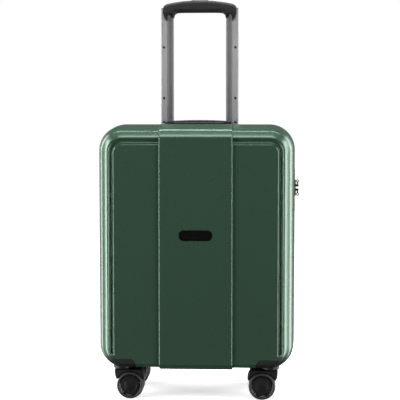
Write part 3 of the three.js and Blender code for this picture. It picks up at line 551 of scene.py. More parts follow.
def ring_rows(half, low, high, radius):
    """A rounded outline as four rows: bottom, right, top, left, each from its low end to its high."""
    cx, cl, ch = half - radius, low + radius, high - radius
    right_stations = list(OPEN_STATIONS) + [s for s, _ in BAND_STEP] + list(SIDE_STATIONS)
    stations = [-s for s in reversed(right_stations[1:])] + right_stations
    rows = [cl + (ch - cl) * i / ROWS for i in range(1, ROWS)]
    bottom = [*arc(-cx, cl, radius, 225, 270, HALF_ARC), *((s, low) for s in stations),
              *arc(cx, cl, radius, 270, 315, HALF_ARC)]
    right = [*arc(cx, cl, radius, -45, 0, HALF_ARC), *((half, z) for z in rows),
             *arc(cx, ch, radius, 0, 45, HALF_ARC)]
    top = [*arc(-cx, ch, radius, 135, 90, HALF_ARC), *((s, high) for s in stations),
           *arc(cx, ch, radius, 90, 45, HALF_ARC)]
    left = [*arc(-cx, cl, radius, 225, 180, HALF_ARC), *((-half, z) for z in rows),
            *arc(-cx, ch, radius, 180, 135, HALF_ARC)]
    return bottom, right, top, left


def coons(*sides):
    """Points inside a four-sided patch, by blending its low, high, left and right side."""
    low, high, left, right = (np.array(side) for side in sides)
    u = np.linspace(0, 1, len(low))[:, None, None]
    v = np.linspace(0, 1, len(left))[None, :, None]
    flat = (1 - v) * low[:, None] + v * high[:, None] + (1 - u) * left + u * right
    return flat - (1 - v) * ((1 - u) * low[0] + u * low[-1]) - v * ((1 - u) * high[0] + u * high[-1])


def panel_grid(bottom, right, top, left):
    """A grid over the flat panel that keeps the outline's columns and rows straight."""
    n, m, h = len(bottom), len(left), HALF_ARC
    grid = np.zeros((n, m, 2))
    columns, rows = (0, h, n - 1 - h, n - 1), (0, h, m - 1 - h, m - 1)

    def frame_point(i, j):
        """A point of the grid's own frame lines."""
        if j in (0, m - 1):
            return (bottom if j == 0 else top)[i]
        if i in (0, n - 1):
            return (left if i == 0 else right)[j]
        return bottom[i][0], left[j][1]

    def side(cells, curved):
        """One side of a patch, which is straight unless it follows the outline."""
        points = [frame_point(i, j) for i, j in cells]
        if curved:
            return points
        start, way, last = np.array(points[0]), np.array(points[-1]) - np.array(points[0]), len(points) - 1
        return [tuple(start + way * k / last) for k in range(last + 1)]

    for p in range(3):
        for q in range(3):
            i0, i1, j0, j1 = *columns[p:p + 2], *rows[q:q + 2]
            across, up = range(i0, i1 + 1), range(j0, j1 + 1)
            grid[i0:i1 + 1, j0:j1 + 1] = coons(
                side([(i, j0) for i in across], p == 1 or q == 0),
                side([(i, j1) for i in across], p == 1 or q == 2),
                side([(i0, j) for j in up], q == 1 or p == 0),
                side([(i1, j) for j in up], q == 1 or p == 2))
    return grid


def fill_panel(verts, faces, first, sides, place):
    """Closes the ring that starts at a number with a grid; place turns (x, z) into a vertex."""
    grid = panel_grid(*sides)
    n, m = grid.shape[:2]
    order = ([(i, 0) for i in range(n - 1)] + [(n - 1, j) for j in range(m - 1)]
             + [(i, m - 1) for i in range(n - 1, 0, -1)] + [(0, j) for j in range(m - 1, 0, -1)])
    index = {key: first + k for k, key in enumerate(order)}
    for i in range(1, n - 1):
        for j in range(1, m - 1):
            index[i, j] = len(verts)
            verts.append(place(*grid[i, j]))
    faces += [(index[i, j], index[i + 1, j], index[i + 1, j + 1], index[i, j + 1])
              for i in range(n - 1) for j in range(m - 1)]


def shell_surface(grow=0.0, plain=False):
    """The front half's outer surface; plain has no band or groove and is closed at the rim."""
    profile = shell_profile()
    verts, faces = [], []

    def lift(x, z, inset, depth, normal, up):
        """The point of the pressed shell over a point of the plain one."""
        if plain:
            return x, -(RIM + depth + grow * (depth > 0)), z
        raise_by = BAND_RAISE * band_weight(x) * ease((depth - 4) / 52)
        foot = ease((z - (BOTTOM + GROOVE_FOOT - 2)) / 3.5)
        cut = groove_depth(inset) * foot * (1 - min(max(band_weight(x), 0), 1))
        return (x, -(RIM + depth + grow * (depth > 0) + raise_by * normal[1] - cut),
                z + up * raise_by * normal[0])

    for k, (inset, depth) in enumerate(profile):
        before, after = profile[max(k - 1, 0)], profile[min(k + 1, len(profile) - 1)]
        ds, dd = after[0] - before[0], after[1] - before[1]
        length = math.hypot(ds, dd)
        normal = (dd / length, ds / length)
        sides = ring_sides(inset, grow)
        bottom, right, top, left = sides
        ring = ([(p, -1) for p in bottom[:-1]] + [(p, 0) for p in right[:-1]]
                + [(p, 1) for p in reversed(top[1:])] + [(p, 0) for p in reversed(left[1:])])
        start = len(verts)
        verts += [lift(p[0], p[1], inset, depth, normal, up) for p, up in ring]
        if k:
            join_rings(faces, start - len(ring), start, len(ring))
    fill_panel(verts, faces, start, sides, lambda x, z: lift(x, z, inset, depth, (0, 1), 0))
    if plain:
        faces.append(tuple(reversed(range(len(ring)))))
    return new_object("shell", verts, faces)


HOUSING_HIGH = box_mm("front_left_caster_housing")[1]
HOUSING_INNER, HOUSING_BACK, HOUSING_TOP = abs(HOUSING_HIGH.x), -HOUSING_HIGH.y, HOUSING_HIGH.z
HOUSING_ROUND = 11
SEAT_RADIUS = 17  # the round seat that a caster turns under
FIT = 0.4  # play around a part that is let into the shell
BADGE_SEAT = 1.6
CORNER_WALL = 4
STEM_BORE = 5.4


def corner_block(side, clearance):
    """The rounded block that a caster housing fills in a lower corner of the front half."""
    reach = (HOUSING_INNER - clearance, HALF + 20)
    a = reach if side > 0 else (-reach[1], -reach[0])
    outline = round_rect(a, (BOTTOM - 20, HOUSING_TOP + clearance), HOUSING_ROUND + clearance, 10)
    return prism(outline, -(FACE + 20), -(HOUSING_BACK - clearance), along_y)


def half_shell():
    """A pressed shell with its wall, cut out for the two corner pieces."""
    obj = fix_normals(thicken(shell_surface(), WALL, -1))
    return boolean(obj, [corner_block(-1, FIT), corner_block(1, FIT)])


def ranges(low, high, spare=0.0):
    return [(a - spare, b + spare) for a, b in zip(low, high)]


def make_front_shell():
    obj = half_shell()
    low, high = box_mm("badge")
    x, _, z = ranges(low, high, FIT)
    recess = round_rect(x, z, (high.z - low.z) / 2, 10)
    face = -(FACE + BAND_RAISE)
    boolean(obj, [prism(recess, face - 5, face + BADGE_SEAT, along_y)])
    return piece(obj, "front_half_shell", "front_case", "shell_green", ["front_shell"], 50)


make_front_shell()


BEZEL_LOW, BEZEL_HIGH = box_mm("trolley_bezel")
PLATE_LOW, PLATE_HIGH = box_mm("top_handle_plate")


def make_rear_shell():
    """The rear half, with seats for the bezel, the handles and the lock."""
    obj = turned(half_shell())
    x, y, z = ranges(BEZEL_LOW, BEZEL_HIGH, FIT)
    cutters = [block(x, (y[0], FACE + 20), (z[0], TOP + 20))]
    x, y, z = ranges(PLATE_LOW, PLATE_HIGH, FIT)
    cutters.append(prism(round_rect(x, y, 6), z[0], z[1] + 5, along_z))
    for node, radius in (("side_handle_tray", 12), ("lock_body", 5)):
        x, y, z = ranges(*box_mm(node), FIT)
        cutters.append(prism(round_rect(y, z, radius), x[0], x[1] + 5, along_x))
    boolean(obj, cutters)
    return piece(obj, "rear_half_shell", "rear_case", "shell_green", ["rear_shell"], 50)


make_rear_shell()


# ---- caster housings


def make_housing(end, side_name, side):
    """A black corner piece: hollow, with a round seat and a bore for the stem."""
    node = f"{end}_{side_name}_caster_housing"
    side = side if end == "front" else -side
    outside = corner_block(side, 0)
    pocket = corner_block(side, -CORNER_WALL)
    behind = block((-HALF, HALF), (-FACE, -HOUSING_BACK - CORNER_WALL), (BOTTOM - 20, TOP))
    boolean(pocket, [shell_surface(-CORNER_WALL - 0.6, True)], "INTERSECT")
    boolean(pocket, [behind], "INTERSECT")
    swivel = joint_place(f"{end}_{side_name}_swivel")
    at = (abs(swivel.x) * side, -abs(swivel.y), 0)
    obj = boolean(outside, [shell_surface(-0.2, True)], "INTERSECT")
    bevel(obj, 0.9, 2, 40)
    seat = [(0, BOTTOM + 0.1), (SEAT_RADIUS - 1, BOTTOM + 0.1), (SEAT_RADIUS, BOTTOM + 1.1),
            (SEAT_RADIUS, BOTTOM + 9), (0, BOTTOM + 9)]
    boolean(obj, [lathe(seat, 64, about("z", at))], "UNION")
    boolean(obj, [pocket, rod("z", at, STEM_BORE, BOTTOM - 20, BOTTOM + 18)])
    if end == "rear":
        turned(obj)
    return piece(obj, node.replace("caster_", "corner_"), end + "_case", "black_plastic", [node], 40)


# ---- casters

WHEEL_RADIUS = joint_place("front_left_outer_roll").z
HOOD_CLEARANCE = 1.4
HOOD_HALF = 15.5
STEM_LENGTH = 17
WHEEL_INSIDE = 8.5  # a wheel's two sides, from the fork's middle
WHEEL_OUTSIDE = 20.5
TRAIL = 17  # from the swivel axis back to the axle
AXLE_BORE = 3.3
HOOD_TOP = box_mm("front_left_fork")[1].z - STEM_LENGTH


def hood_outline():
    """Side view of a caster's hood; the first number runs from the swivel axis towards the wheel."""
    top, low = HOOD_TOP, WHEEL_RADIUS + 10.8
    back, front = TRAIL - 31, TRAIL + 28.6
    points = [(back + 1.2, top)]
    points += bezier(points[-1], (back - 0.2, top), (back, top - 1), (back, top - 4), 4)
    points += bezier(points[-1], (back + 0.2, top - 12), (back + 1.6, low + 5), (back + 4, low), 8)
    points += [(front - 1.2, low)]
    points += bezier(points[-1], (front + 0.6, low + 4), (front + 0.6, top - 13), (front - 1.6, top - 8), 8)
    points += bezier(points[-1], (front - 3, top - 3), (front - 7, top), (front - 11, top), 8)
    return points


def make_fork(end, side_name):
    """A hood over both wheels, a web between them and the stem."""
    corner = f"{end}_{side_name}"
    swivel = joint_place(corner + "_swivel")
    wheel = joint_place(corner + "_outer_roll")
    way = 1 if wheel.x > swivel.x else -1

    def placed(u, w, v):
        return swivel.x + way * u, swivel.y + v, w

    def room(low, high):
        return rod("y", wheel, WHEEL_RADIUS + HOOD_CLEARANCE, low, high, 64)

    half, web = WHEEL_OUTSIDE, WHEEL_INSIDE - 2
    obj = soft_prism(hood_outline(), -HOOD_HALF, HOOD_HALF, placed, 2.4)
    boolean(obj, [room(-half - 5, -web), room(web, half + 5)])
    rib_x = swivel.x + way * (TRAIL + 29.4)
    boolean(obj, [rod("z", (rib_x, swivel.y + y, 0), 1.0, 30, HOOD_TOP - 9, 12) for y in (-13, -5, 5, 13)])
    low, high = WHEEL_RADIUS + 12, HOOD_TOP - 4
    web_points = [(TRAIL - 24, low), *arc(TRAIL, WHEEL_RADIUS, 7.5, 180, 360, 16),
                  (TRAIL + 24, low), (TRAIL + 20, high), (TRAIL - 20, high)]
    end_z = HOOD_TOP + STEM_LENGTH
    stem = lathe([(0, high), (11, high), (11, HOOD_TOP + 0.6), (5, HOOD_TOP + 0.8),
                  (5, end_z - 0.6), (4.4, end_z), (0, end_z)], 48, about("z", (swivel.x, swivel.y, 0)))
    boolean(obj, [soft_prism(web_points, -web, web, placed, 0.8), stem], "UNION")
    boolean(obj, [rod("y", wheel, AXLE_BORE, -half, half)])
    piece(obj, corner + "_caster_fork", corner + "_fork", "black_plastic", [corner + "_fork"], 40)


def wheel_profiles():
    """Closed (radius, along) profiles of a wheel's tyre, dished gloss ring and cap."""
    r, a, b = WHEEL_RADIUS, WHEEL_INSIDE, WHEEL_OUTSIDE
    tyre = [(r - 5.6, a + 0.8), *bezier((r - 5.6, a + 0.8), (r - 4, a), (r - 0.3, a), (r, a + 3), 6)]
    tyre += [(r, b - 4), *bezier((r, b - 4), (r - 0.1, b - 1.4), (r - 1, b - 0.1), (r - 2.8, b), 7)]
    tyre += bezier(tyre[-1], (r - 3.6, b), (r - 4.1, b - 0.2), (r - 4.4, b - 0.9), 4)
    tyre += [(r - 5.6, b - 1.6)]
    ring = [(AXLE_BORE, a + 0.4), (r - 7, a + 0.4), (r - 5.7, a + 1.6), (r - 5.7, b - 1.7),
            (r - 4.7, b - 0.7)]
    ring += bezier(ring[-1], (r - 5.2, b - 0.3), (r - 5.5, b - 0.9), (r - 6.1, b - 1.7), 5)
    ring += bezier(ring[-1], (r - 6.6, b - 2.5), (r - 7.4, b - 3.2), (r - 8.5, b - 3.3), 5)
    ring += [(8, b - 3.8), (8, b - 4.4), (AXLE_BORE, b - 4.4)]
    cap = [(0, b - 3.6), (r - 8.7, b - 3.5), (r - 8.7, b - 2.5)]
    cap += bezier(cap[-1], (r - 8.7, b - 1.9), (r - 9, b - 1.7), (r - 9.8, b - 1.65), 4)
    cap += [(r - 13.6, b - 1.5), (r - 14, b - 1.75), (r - 14.4, b - 1.5), (0, b - 1.4)]
    return tyre, ring, cap


def make_wheel(end, side_name, place_name):
    """One of a caster's twin wheels: outer is the one nearer the case's own face."""
    corner = f"{end}_{side_name}"
    node = f"{corner}_{place_name}_wheel"
    centre = joint_place(f"{corner}_{place_name}_roll")
    low, high = box_mm(node)
    way = 1 if (low.y + high.y) / 2 > centre.y else -1
    looks = (("tyre", "tyre", TYRE), ("hub", "gloss_black", GLOSS), ("cap", "gloss_black", CAP))
    for (name, slot, material), profile in zip(looks, wheel_profiles()):
        obj = lathe(profile, 96, about("y", centre, way))
        piece(obj, f"{node}_{name}", node, slot, [node] if name == "tyre" else [], 40, material)


for end, _ in ENDS:
    for side_name, side in SIDES:
        make_housing(end, side_name, side)
        make_fork(end, side_name)
        for place_name in ("outer", "inner"):
            make_wheel(end, side_name, place_name)


# ---- trolley

GRIP_LOW, GRIP_HIGH = box_mm("grip_upper")
PALM_HIGH = box_mm("grip_lower")[1]
CHANNEL_LOW, CHANNEL_HIGH = box_mm("right_channel")
TUBE_LOW, TUBE_HIGH = box_mm("right_inner_tube")
GRIP_TOP = GRIP_HIGH.z
TROLLEY_Y = (CHANNEL_LOW.y + CHANNEL_HIGH.y) / 2
LEG_OUT = CHANNEL_HIGH.x
LEG_MOUTH = CHANNEL_LOW.x
LEG_IN = TUBE_LOW.x
CHANNEL_HALF = (CHANNEL_HIGH.y - CHANNEL_LOW.y) / 2
NOSE = (TUBE_HIGH.y - TUBE_LOW.y) / 2
NOSE_X = LEG_IN + NOSE
CHANNEL_WALL = 1.2
RUN = 0.3  # running play between parts that slide
LOCK_STEPS = (0, 62, 111, 214)  # lock holes, up from the pin's place
LOCK_HOLE = 2.6
PIN_X = LEG_OUT - (LEG_OUT - LEG_MOUTH) / 2
PIN_Z = CHANNEL_LOW.z + 30


def leg_place(side):
    """Places a leg's plan, drawn for the right-hand leg, on one side."""
    return lambda a, b, c: (side * a, TROLLEY_Y + b, c)


def channel_plan():
    """A C channel with rounded outer corners and lips rolled in at its mouth."""
    out, mouth, y, wall = LEG_OUT, LEG_MOUTH, CHANNEL_HALF, CHANNEL_WALL
    points = [(mouth, -y + 0.25), (mouth + 0.25, -y), *arc(out - 2.4, -y + 2.4, 2.4, -90, 0, 6)]
    points += [*arc(out - 2.4, y - 2.4, 2.4, 0, 90, 6), (mouth + 0.25, y), (mouth, y - 0.25)]
    points += [(mouth, y - wall), *arc(out - 2.4, y - 2.4, 1.2, 90, 0, 4)]
    points += [*arc(out - 2.4, -y + 2.4, 1.2, 0, -90, 4), (mouth, -y + wall)]
    return points


def tube_plan(spare=0.0):
    """Round nose towards the middle of the case, flat tail inside the channel."""
    shoulder, tail = LEG_MOUTH - RUN + spare, LEG_OUT - CHANNEL_WALL - RUN + spare
    nose, flat = NOSE + spare, CHANNEL_HALF - CHANNEL_WALL - RUN + spare
    points = [(shoulder - 0.4, nose), *arc(NOSE_X, 0, nose, 90, 270, 28), (shoulder - 0.4, -nose)]
    points += [(shoulder, -nose + 0.4), (shoulder, -flat), (tail - 1, -flat), (tail, -flat + 1)]
    points += [(tail, flat - 1), (tail - 1, flat), (shoulder, flat), (shoulder, nose - 0.4)]
    return points


DIMPLES = (36.5, 49)  # two pressed crescents, down from the channel's top


def make_channel(side_name, side):
    """An outer leg with its lock holes and two pressed crescents."""
    node = side_name + "_channel"
    obj = prism(channel_plan(), CHANNEL_LOW.z, CHANNEL_HIGH.z, leg_place(side))
    holes = []
    rim, face = LOCK_HOLE + 0.3, -CHANNEL_HALF
    sink = [(0, face - 1), (rim, face - 1), (rim, face), (LOCK_HOLE, face + 0.3), (0, face + 0.3)]
    for step in LOCK_STEPS:
        at = (side * PIN_X, TROLLEY_Y, PIN_Z + step)
        holes.append(rod("y", at, LOCK_HOLE, face - 1, 0, 24))
        holes.append(lathe(sink, 24, about("y", at)))
    for down in DIMPLES:
        z = CHANNEL_HIGH.z - down
        outer = list(arc(PIN_X + 0.6, z, 3.9, -50, 50, 12))
        inner = list(arc(PIN_X - 0.8, z, 3.9, 38, -38, 12))
        crescent = [(side * a, b) for a, b in outer + inner]
        holes.append(prism(crescent, TROLLEY_Y + face - 1, TROLLEY_Y + face + 0.55, along_y))
    boolean(obj, holes)
    piece(obj, side_name + "_channel_leg", "trolley_first_stage", "aluminium_light", [node])


def make_tube(side_name, side):
    node = side_name + "_inner_tube"
    obj = prism(tube_plan(), TUBE_LOW.z, TUBE_HIGH.z, leg_place(side))
    bore = prism(tube_plan(-CHANNEL_WALL), TUBE_LOW.z - 5, TUBE_HIGH.z + 5, leg_place(side))
    hole = rod("y", (side * PIN_X, TROLLEY_Y, PIN_Z), 2.0, -CHANNEL_HALF - 1, 0, 24)
    boolean(obj, [bore, hole])
    piece(obj, side_name + "_inner_tube_leg", "trolley_grip", "aluminium_dark", [node])


def make_ferrule(side_name, side):
    """Plastic end fitting with a collar that shows as a light band under the grip."""
    node = side_name + "_ferrule"
    low, high = box_mm(node)
    obj = soft_prism(tube_plan(), low.z, high.z, leg_place(side), 0.4, steps=2)
    groove = boolean(prism(tube_plan(3), low.z + 3.4, low.z + 4.2, leg_place(side)),
                     [prism(tube_plan(-0.5), low.z, high.z, leg_place(side))])
    boolean(obj, [groove, rod("z", (side * NOSE_X, TROLLEY_Y, 0), 3, low.z - 5, high.z + 5)])
    piece(obj, side_name + "_end_fitting", "trolley_grip", "aluminium_dark", [node])


def grip_outline():
    """Front view of the grip: arched top, wings outside the legs, an arch over each leg's nose."""
    top, low = GRIP_TOP, GRIP_TOP - 24.5
    right = [(0, top), (22, top - 0.2), (44, top - 2.8), (62, top - 5.6), (70.8, top - 8.6),
             (75, top - 13.6), (75.6, top - 21), (74.4, top - 28), (72.2, top - 34.5),
             (LEG_MOUTH + 3.4, top - 39), (LEG_MOUTH + 1.6, top - 41.4), (LEG_MOUTH + 0.2, top - 41.2),
             (LEG_MOUTH - 0.2, top - 36), (LEG_MOUTH - 2, top - 29.6), (NOSE_X - 0.6, top - 26),
             (LEG_IN + 2.4, top - 29), (LEG_IN + 1, top - 35.4), (LEG_IN - 0.6, top - 35.6),
             (LEG_IN - 2, low - 4.6), (LEG_IN - 6, low - 1), (LEG_IN - 14, low), (22, low)]
    left = [(-x, z) for x, z in right[1:]][::-1]
    return softened(right + left, 2)


def grip_body():
    outline = grip_outline()
    insets = []
    for x, z in outline:
        down = GRIP_TOP - z
        palm = 1 - ease((abs(x) - 40) / 14)
        insets.append(0.7 + 5.6 * (palm if down > 22 else 1 - ease((down - 8) / 16)))
    return soft_prism(outline, GRIP_LOW.y, GRIP_HIGH.y, along_y, 6.3, insets, 6)


def make_grip():
    """The grip in its two halves, cut to fit over the legs, with its push button."""
    split, half = PALM_HIGH.z, CHANNEL_HALF + RUN
    palm = (-PALM_HIGH.x, PALM_HIGH.x)
    across = (GRIP_LOW.y - 5, GRIP_HIGH.y + 5)
    upper = grip_body()
    ferrule_top = box_mm("right_ferrule")[1].z
    cutters = [block((palm[0] - FIT, palm[1] + FIT), across, (split - 40, split + FIT))]
    for _, side in SIDES:
        x = sorted((side * (LEG_MOUTH - RUN), side * (LEG_OUT + 5)))
        y = (TROLLEY_Y - half, TROLLEY_Y + half)
        cutters.append(block(x, y, (split - 60, CHANNEL_HIGH.z + RUN)))
        cutters.append(prism(tube_plan(RUN), split - 60, ferrule_top + RUN, leg_place(side)))
    low, high = box_mm("grip_button")
    x, y, _ = ranges(low, high, RUN)
    cutters.append(prism(round_rect(x, y, 3.3), split - 1, GRIP_TOP + 5, along_z))
    rod_room = (TROLLEY_Y - 4, TROLLEY_Y + 4)
    cutters.append(block((-NOSE_X - 4, NOSE_X + 4), rod_room, (split - 20, low.z + 1)))
    boolean(upper, cutters)
    piece(upper, "grip_shell", "trolley_grip", "black_plastic", ["grip_upper"], 40, GRIP)
    lower = boolean(grip_body(), [block(palm, across, (split - 40, split))], "INTERSECT")
    piece(lower, "grip_underside", "trolley_grip", "black_plastic", ["grip_lower"], 40, GRIP)
    button = soft_prism(round_rect((low.x, high.x), (low.y, high.y), 3), low.z, high.z, along_z, 1.6)
    piece(button, "grip_push_button", "grip_button", "grey_plastic", ["grip_button"])


for side_name, side in SIDES:
    make_channel(side_name, side)
    make_tube(side_name, side)
    make_ferrule(side_name, side)
make_grip()


# ---- carry handles


HANDLE_LENGTH = 132
HANDLE_ARCH = 4.6  # thickness at the middle and at the ends
HANDLE_END = 2.4
HANDLE_HALF = 11
HANDLE_RISE = 6.2  # from the bow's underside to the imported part's top
HANDLE_LEG = 54


def bow_outline():
    """A flat underside and a bowed top, seen from the side."""
    half, arch, end = HANDLE_LENGTH / 2, HANDLE_ARCH, HANDLE_END
    points = [(-half, end * 0.45), (-half + end * 0.6, 0), (half - end * 0.6, 0), (half, end * 0.45)]
    shares = [1 - 2 * k / 32 for k in range(1, 32)]
    top = [(half * share, end + (arch - end) * (1 - share**2)) for share in shares]
    return points + [(half - 0.3, end * 0.9)] + top + [(-half + 0.3, end * 0.9)]


def make_carry_handle(node, name, place, axis):
    """A soft bow on two legs; place turns (along, out, across) into (x, y, z)."""
    low, high = box_mm(node)
    centre, deepest, underside = (low.y + high.y) / 2, low[axis], high[axis] - HANDLE_RISE
    outline = bow_outline()
    insets = [min(2.4, 0.4 + 0.42 * max(b, 1.2)) for _, b in outline]
    bow = soft_prism([(a, b + underside) for a, b in outline], centre - HANDLE_HALF, centre + HANDLE_HALF,
                     place, 2.4, insets)
    legs = []
    for along in (-HANDLE_LEG, HANDLE_LEG):
        for half, top in ((4.5, underside + 1), (6.5, deepest + 3)):
            foot = round_rect((along - half, along + half), (deepest, top), 0.8, 3)
            legs.append(prism(foot, centre - 7, centre + 7, place))
    boolean(bow, legs, "UNION")
    piece(bow, name, node, "black_plastic", [node], 40, SOFT)


SIDE_HANDLE_Z = sum(corner.z for corner in box_mm("side_handle")) / 2
make_carry_handle("top_handle", "top_carry_handle", along_y, 2)
make_carry_handle("side_handle", "side_carry_handle", lambda a, b, c: (b, c, SIDE_HANDLE_Z + a), 0)


# ---- badge


def make_badge():
    """A plain stadium plate with a raised rim."""
    low, high = box_mm("badge")
    radius = (high.z - low.z) / 2 - 0.01
    x, y, z = ranges(low, high)
    obj = soft_prism(round_rect(x, z, radius, 16), *y, along_y, 0.7)
    x, _, z = ranges(low, high, -2)
    inner = round_rect(x, z, radius - 2, 16)
    boolean(obj, [prism(inner, low.y - 1, low.y + 0.5, along_y)])
    piece(obj, "badge_plate", "front_case", "badge", ["badge"])


make_badge()


# ---- zip, cloth hinge and linings

FIRST_STAGE_TRAVEL = 250.5  # from the shown, raised place down to the stored one
TEETH_PITCH = 2.4
TEETH_INSET = 1.25
TOOTH_DEPTH = 0.9
TOOTH_HALF = 0.62
HINGE_ROWS = 150
FLANGE = 6.8  # how far inside the shell a lining is sewn to the rim


def walk(points, pitch):
    """Points and directions at even steps along a closed outline."""
    points = np.array(points, float)
    steps = np.roll(points, -1, 0) - points
    lengths = np.linalg.norm(steps, axis=1)
    starts = np.concatenate([[0], np.cumsum(lengths)])
    count = int(starts[-1] / pitch)
    for k in range(count):
        along = starts[-1] * k / count
        i = min(int(np.searchsorted(starts, along, "right")) - 1, len(points) - 1)
        way = steps[i] / max(lengths[i], 1e-9)
        yield points[i] + way * (along - starts[i]), way


def make_zip_half(end, side):
    """A woven tape and its row of teeth along the rim, apart from the cloth hinge's stretch."""
    tape = end + "_zip_tape"
    body = end + "_case"
    low, high = box_mm(end + "_hinge_tape")
    copied(tape, tape + "_cloth", 0)
    inset = TEETH_INSET
    outline = round_rect((-HALF + inset, HALF - inset), (BOTTOM + inset, TOP - inset), CORNER - inset, 24)
    verts, faces = [], []
    for (x, z), (ux, uz) in walk(outline, TEETH_PITCH):
        if x < 0 and low.z - 3 < z < high.z + 3:
            continue
        start = len(verts)
        nx, nz = uz, -ux
        for across in (0, -TOOTH_DEPTH):
            for sign, y in ((-1, 0.35), (1, 0.35), (1, 2.5), (-1, 2.5)):
                along = sign * TOOTH_HALF
                verts.append((x + nx * across + ux * along, side * y, z + nz * across + uz * along))
        faces += [tuple(start + i for i in f) for f in
                  ((0, 1, 2, 3), (7, 6, 5, 4), (0, 4, 5, 1), (1, 5, 6, 2), (2, 6, 7, 3), (3, 7, 4, 0))]
    teeth = bevel(fix_normals(new_object("teeth", verts, faces)), 0.22, 1, 30)
    piece(teeth, end + "_zip_teeth", body, "black_plastic")


def sheet_grid(rows):
    """A surface through rows of points."""
    columns = len(rows[0])
    verts = [point for row in rows for point in row]
    faces = [(r * columns + c, r * columns + c + 1, (r + 1) * columns + c + 1, (r + 1) * columns + c)
             for r in range(len(rows) - 1) for c in range(columns - 1)]
    return new_object("sheet", verts, faces)


def make_hinge_cloth():
    """One cloth strip that bulges out of the gap between the halves."""
    low, high = box_mm("front_hinge_tape")
    section = [(HALF - 1.7, -4.9), (HALF - 1, -4.2), (HALF - 0.4, -2.8), (HALF - 0.1, -1.4), (HALF, 0)]
    section += [(x, -y) for x, y in section[-2::-1]]
    rows = []
    for k in range(HINGE_ROWS):
        z = low.z + (high.z - low.z) * k / (HINGE_ROWS - 1)
        pucker = 0.18 * math.sin(k * 1.3) + 0.12 * math.sin(k * 0.47 + 1)
        rows.append([(-(x + pucker * (1 - abs(y) / 5)), y, z) for x, y in section])
    cloth = thicken(sheet_grid(rows), 0.8)
    cloth.name = cloth.data.name = "hinge_cloth"
    smooth(cloth, 60)
    cloth.data.materials.append(TAPE)
    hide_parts("front_hinge_tape", "rear_hinge_tape")
    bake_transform(cloth)


LINING_CORNER = 15


def lining_rings(half, low, high, near, deep, radius):
    """Rings of a fitted lining from the rim's flange to the rounded foot of its walls."""
    grow = HALF - FLANGE - half
    levels = [(-grow, near), (-grow * 0.5, near + 0.3), (-1, near + 0.8), (0, near + 2)]
    straight = deep - LINING_CORNER - near - 2
    levels += [(0, near + 2 + straight * k / 9) for k in range(1, 10)]
    for k in range(1, 9):
        angle = math.radians(90 * k / 8)
        levels.append((LINING_CORNER * (1 - math.cos(angle)), deep - LINING_CORNER * (1 - math.sin(angle))))
    for inset, depth in levels:
        share = min(max(-inset / max(grow, 1e-6), 0), 1)
        low_here = low + inset if inset >= 0 else low + (BOTTOM + FLANGE - low) * share
        high_here = high - inset if inset >= 0 else high + (TOP - FLANGE - high) * share
        yield ring_rows(half - inset, low_here, high_here, max(radius - inset, 3)), depth


def make_lining(end, side):
    """A fitted cloth lining with soft wrinkles, sewn to the rim and glued behind."""
    node = end + "_lining"
    low, high = box_mm(node)
    near, deep = RIM + 0.7, max(abs(low.y), abs(high.y)) - 0.6
    verts, faces = [], []
    half = high.x - 0.6
    radius = max(CORNER - (HALF - half), LINING_CORNER + 4)

    def wrinkled(x, depth, z):
        """Slack cloth: wrinkles only lead towards the room in front of it."""
        wave = noise_at(Vector((x, z, depth * 2)) / 46)
        wave += 0.5 * noise_at(Vector((x + 300, z, depth)) / 19)
        slack = ease((depth - near - 4) / 12) * 1.5 * abs(wave)
        return x * (1 - slack / HALF), side * (depth - slack), z

    for sides, depth in lining_rings(half, low.z + 0.6, high.z - 0.6, near, deep, radius):
        bottom, right, top, left = sides
        ring = bottom[:-1] + right[:-1] + top[:0:-1] + left[:0:-1]
        start = len(verts)
        verts += [wrinkled(x, depth, z) for x, z in ring]
        if start:
            join_rings(faces, start - len(ring), start, len(ring))
    fill_panel(verts, faces, start, sides, lambda x, z: wrinkled(x, depth, z))
    cloth = fix_normals(new_object(node, verts, faces))
    thicken(cloth, 0.9)
    piece(cloth, end + "_lining_cloth", end + "_case", "lining", [node], 60)


def copied(node, name, width):
    """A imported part's own shape with its flat faces cleaned up and its edges rounded over."""
    obj = linked(name, bpy.data.objects[node].data.copy())
    work = bmesh.new()
    work.from_mesh(obj.data)
    bmesh.ops.remove_doubles(work, verts=work.verts, dist=1e-6)
    bmesh.ops.dissolve_limit(work, angle_limit=math.radians(1), verts=work.verts, edges=work.edges)
    work.to_mesh(obj.data)
    work.free()
    if width:
        bevel(obj, width, 3, 30)
    return piece(obj, name, BODY_OF[node], SLOT_OF[node], [node], 35)


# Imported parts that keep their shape, by the width of their rounded edges.
ROUNDED = {
    0.2: ("lock_key_cylinder", "left_lock_pin", "right_lock_pin"),
    0.25: ("lock_dial_1", "lock_dial_2", "lock_dial_3"),
    0.3: ("upper_zip_pull", "lower_zip_pull", "left_outer_tube", "right_outer_tube"),
    0.35: ("lock_button", "upper_zip_slider", "lower_zip_slider"),
    0.4: ("release_yoke",),
    0.5: ("top_handle_plate",),
    0.6: ("side_handle_tray", "trolley_foot"),
    0.7: ("lock_body",),
}


def make_hole_shade_sheet(side_name, side):
    """A black sheet inside the channel, behind its lock holes: painted shade, so that the holes read as
    dark.
    """
    front = -(CHANNEL_HALF - CHANNEL_WALL)
    near, far = front + 0.02, front + 0.22
    outline = [(PIN_X - 3, near), (PIN_X + 3, near), (PIN_X + 3, far), (PIN_X - 3, far)]
    obj = prism(outline, PIN_Z + LOCK_HOLE, CHANNEL_HIGH.z - 3, leg_place(side))
    # painted shade: a black sheet where the holes only hold shade
    piece(obj, side_name + "_hole_shade_sheet", "trolley_first_stage", "black_plastic")


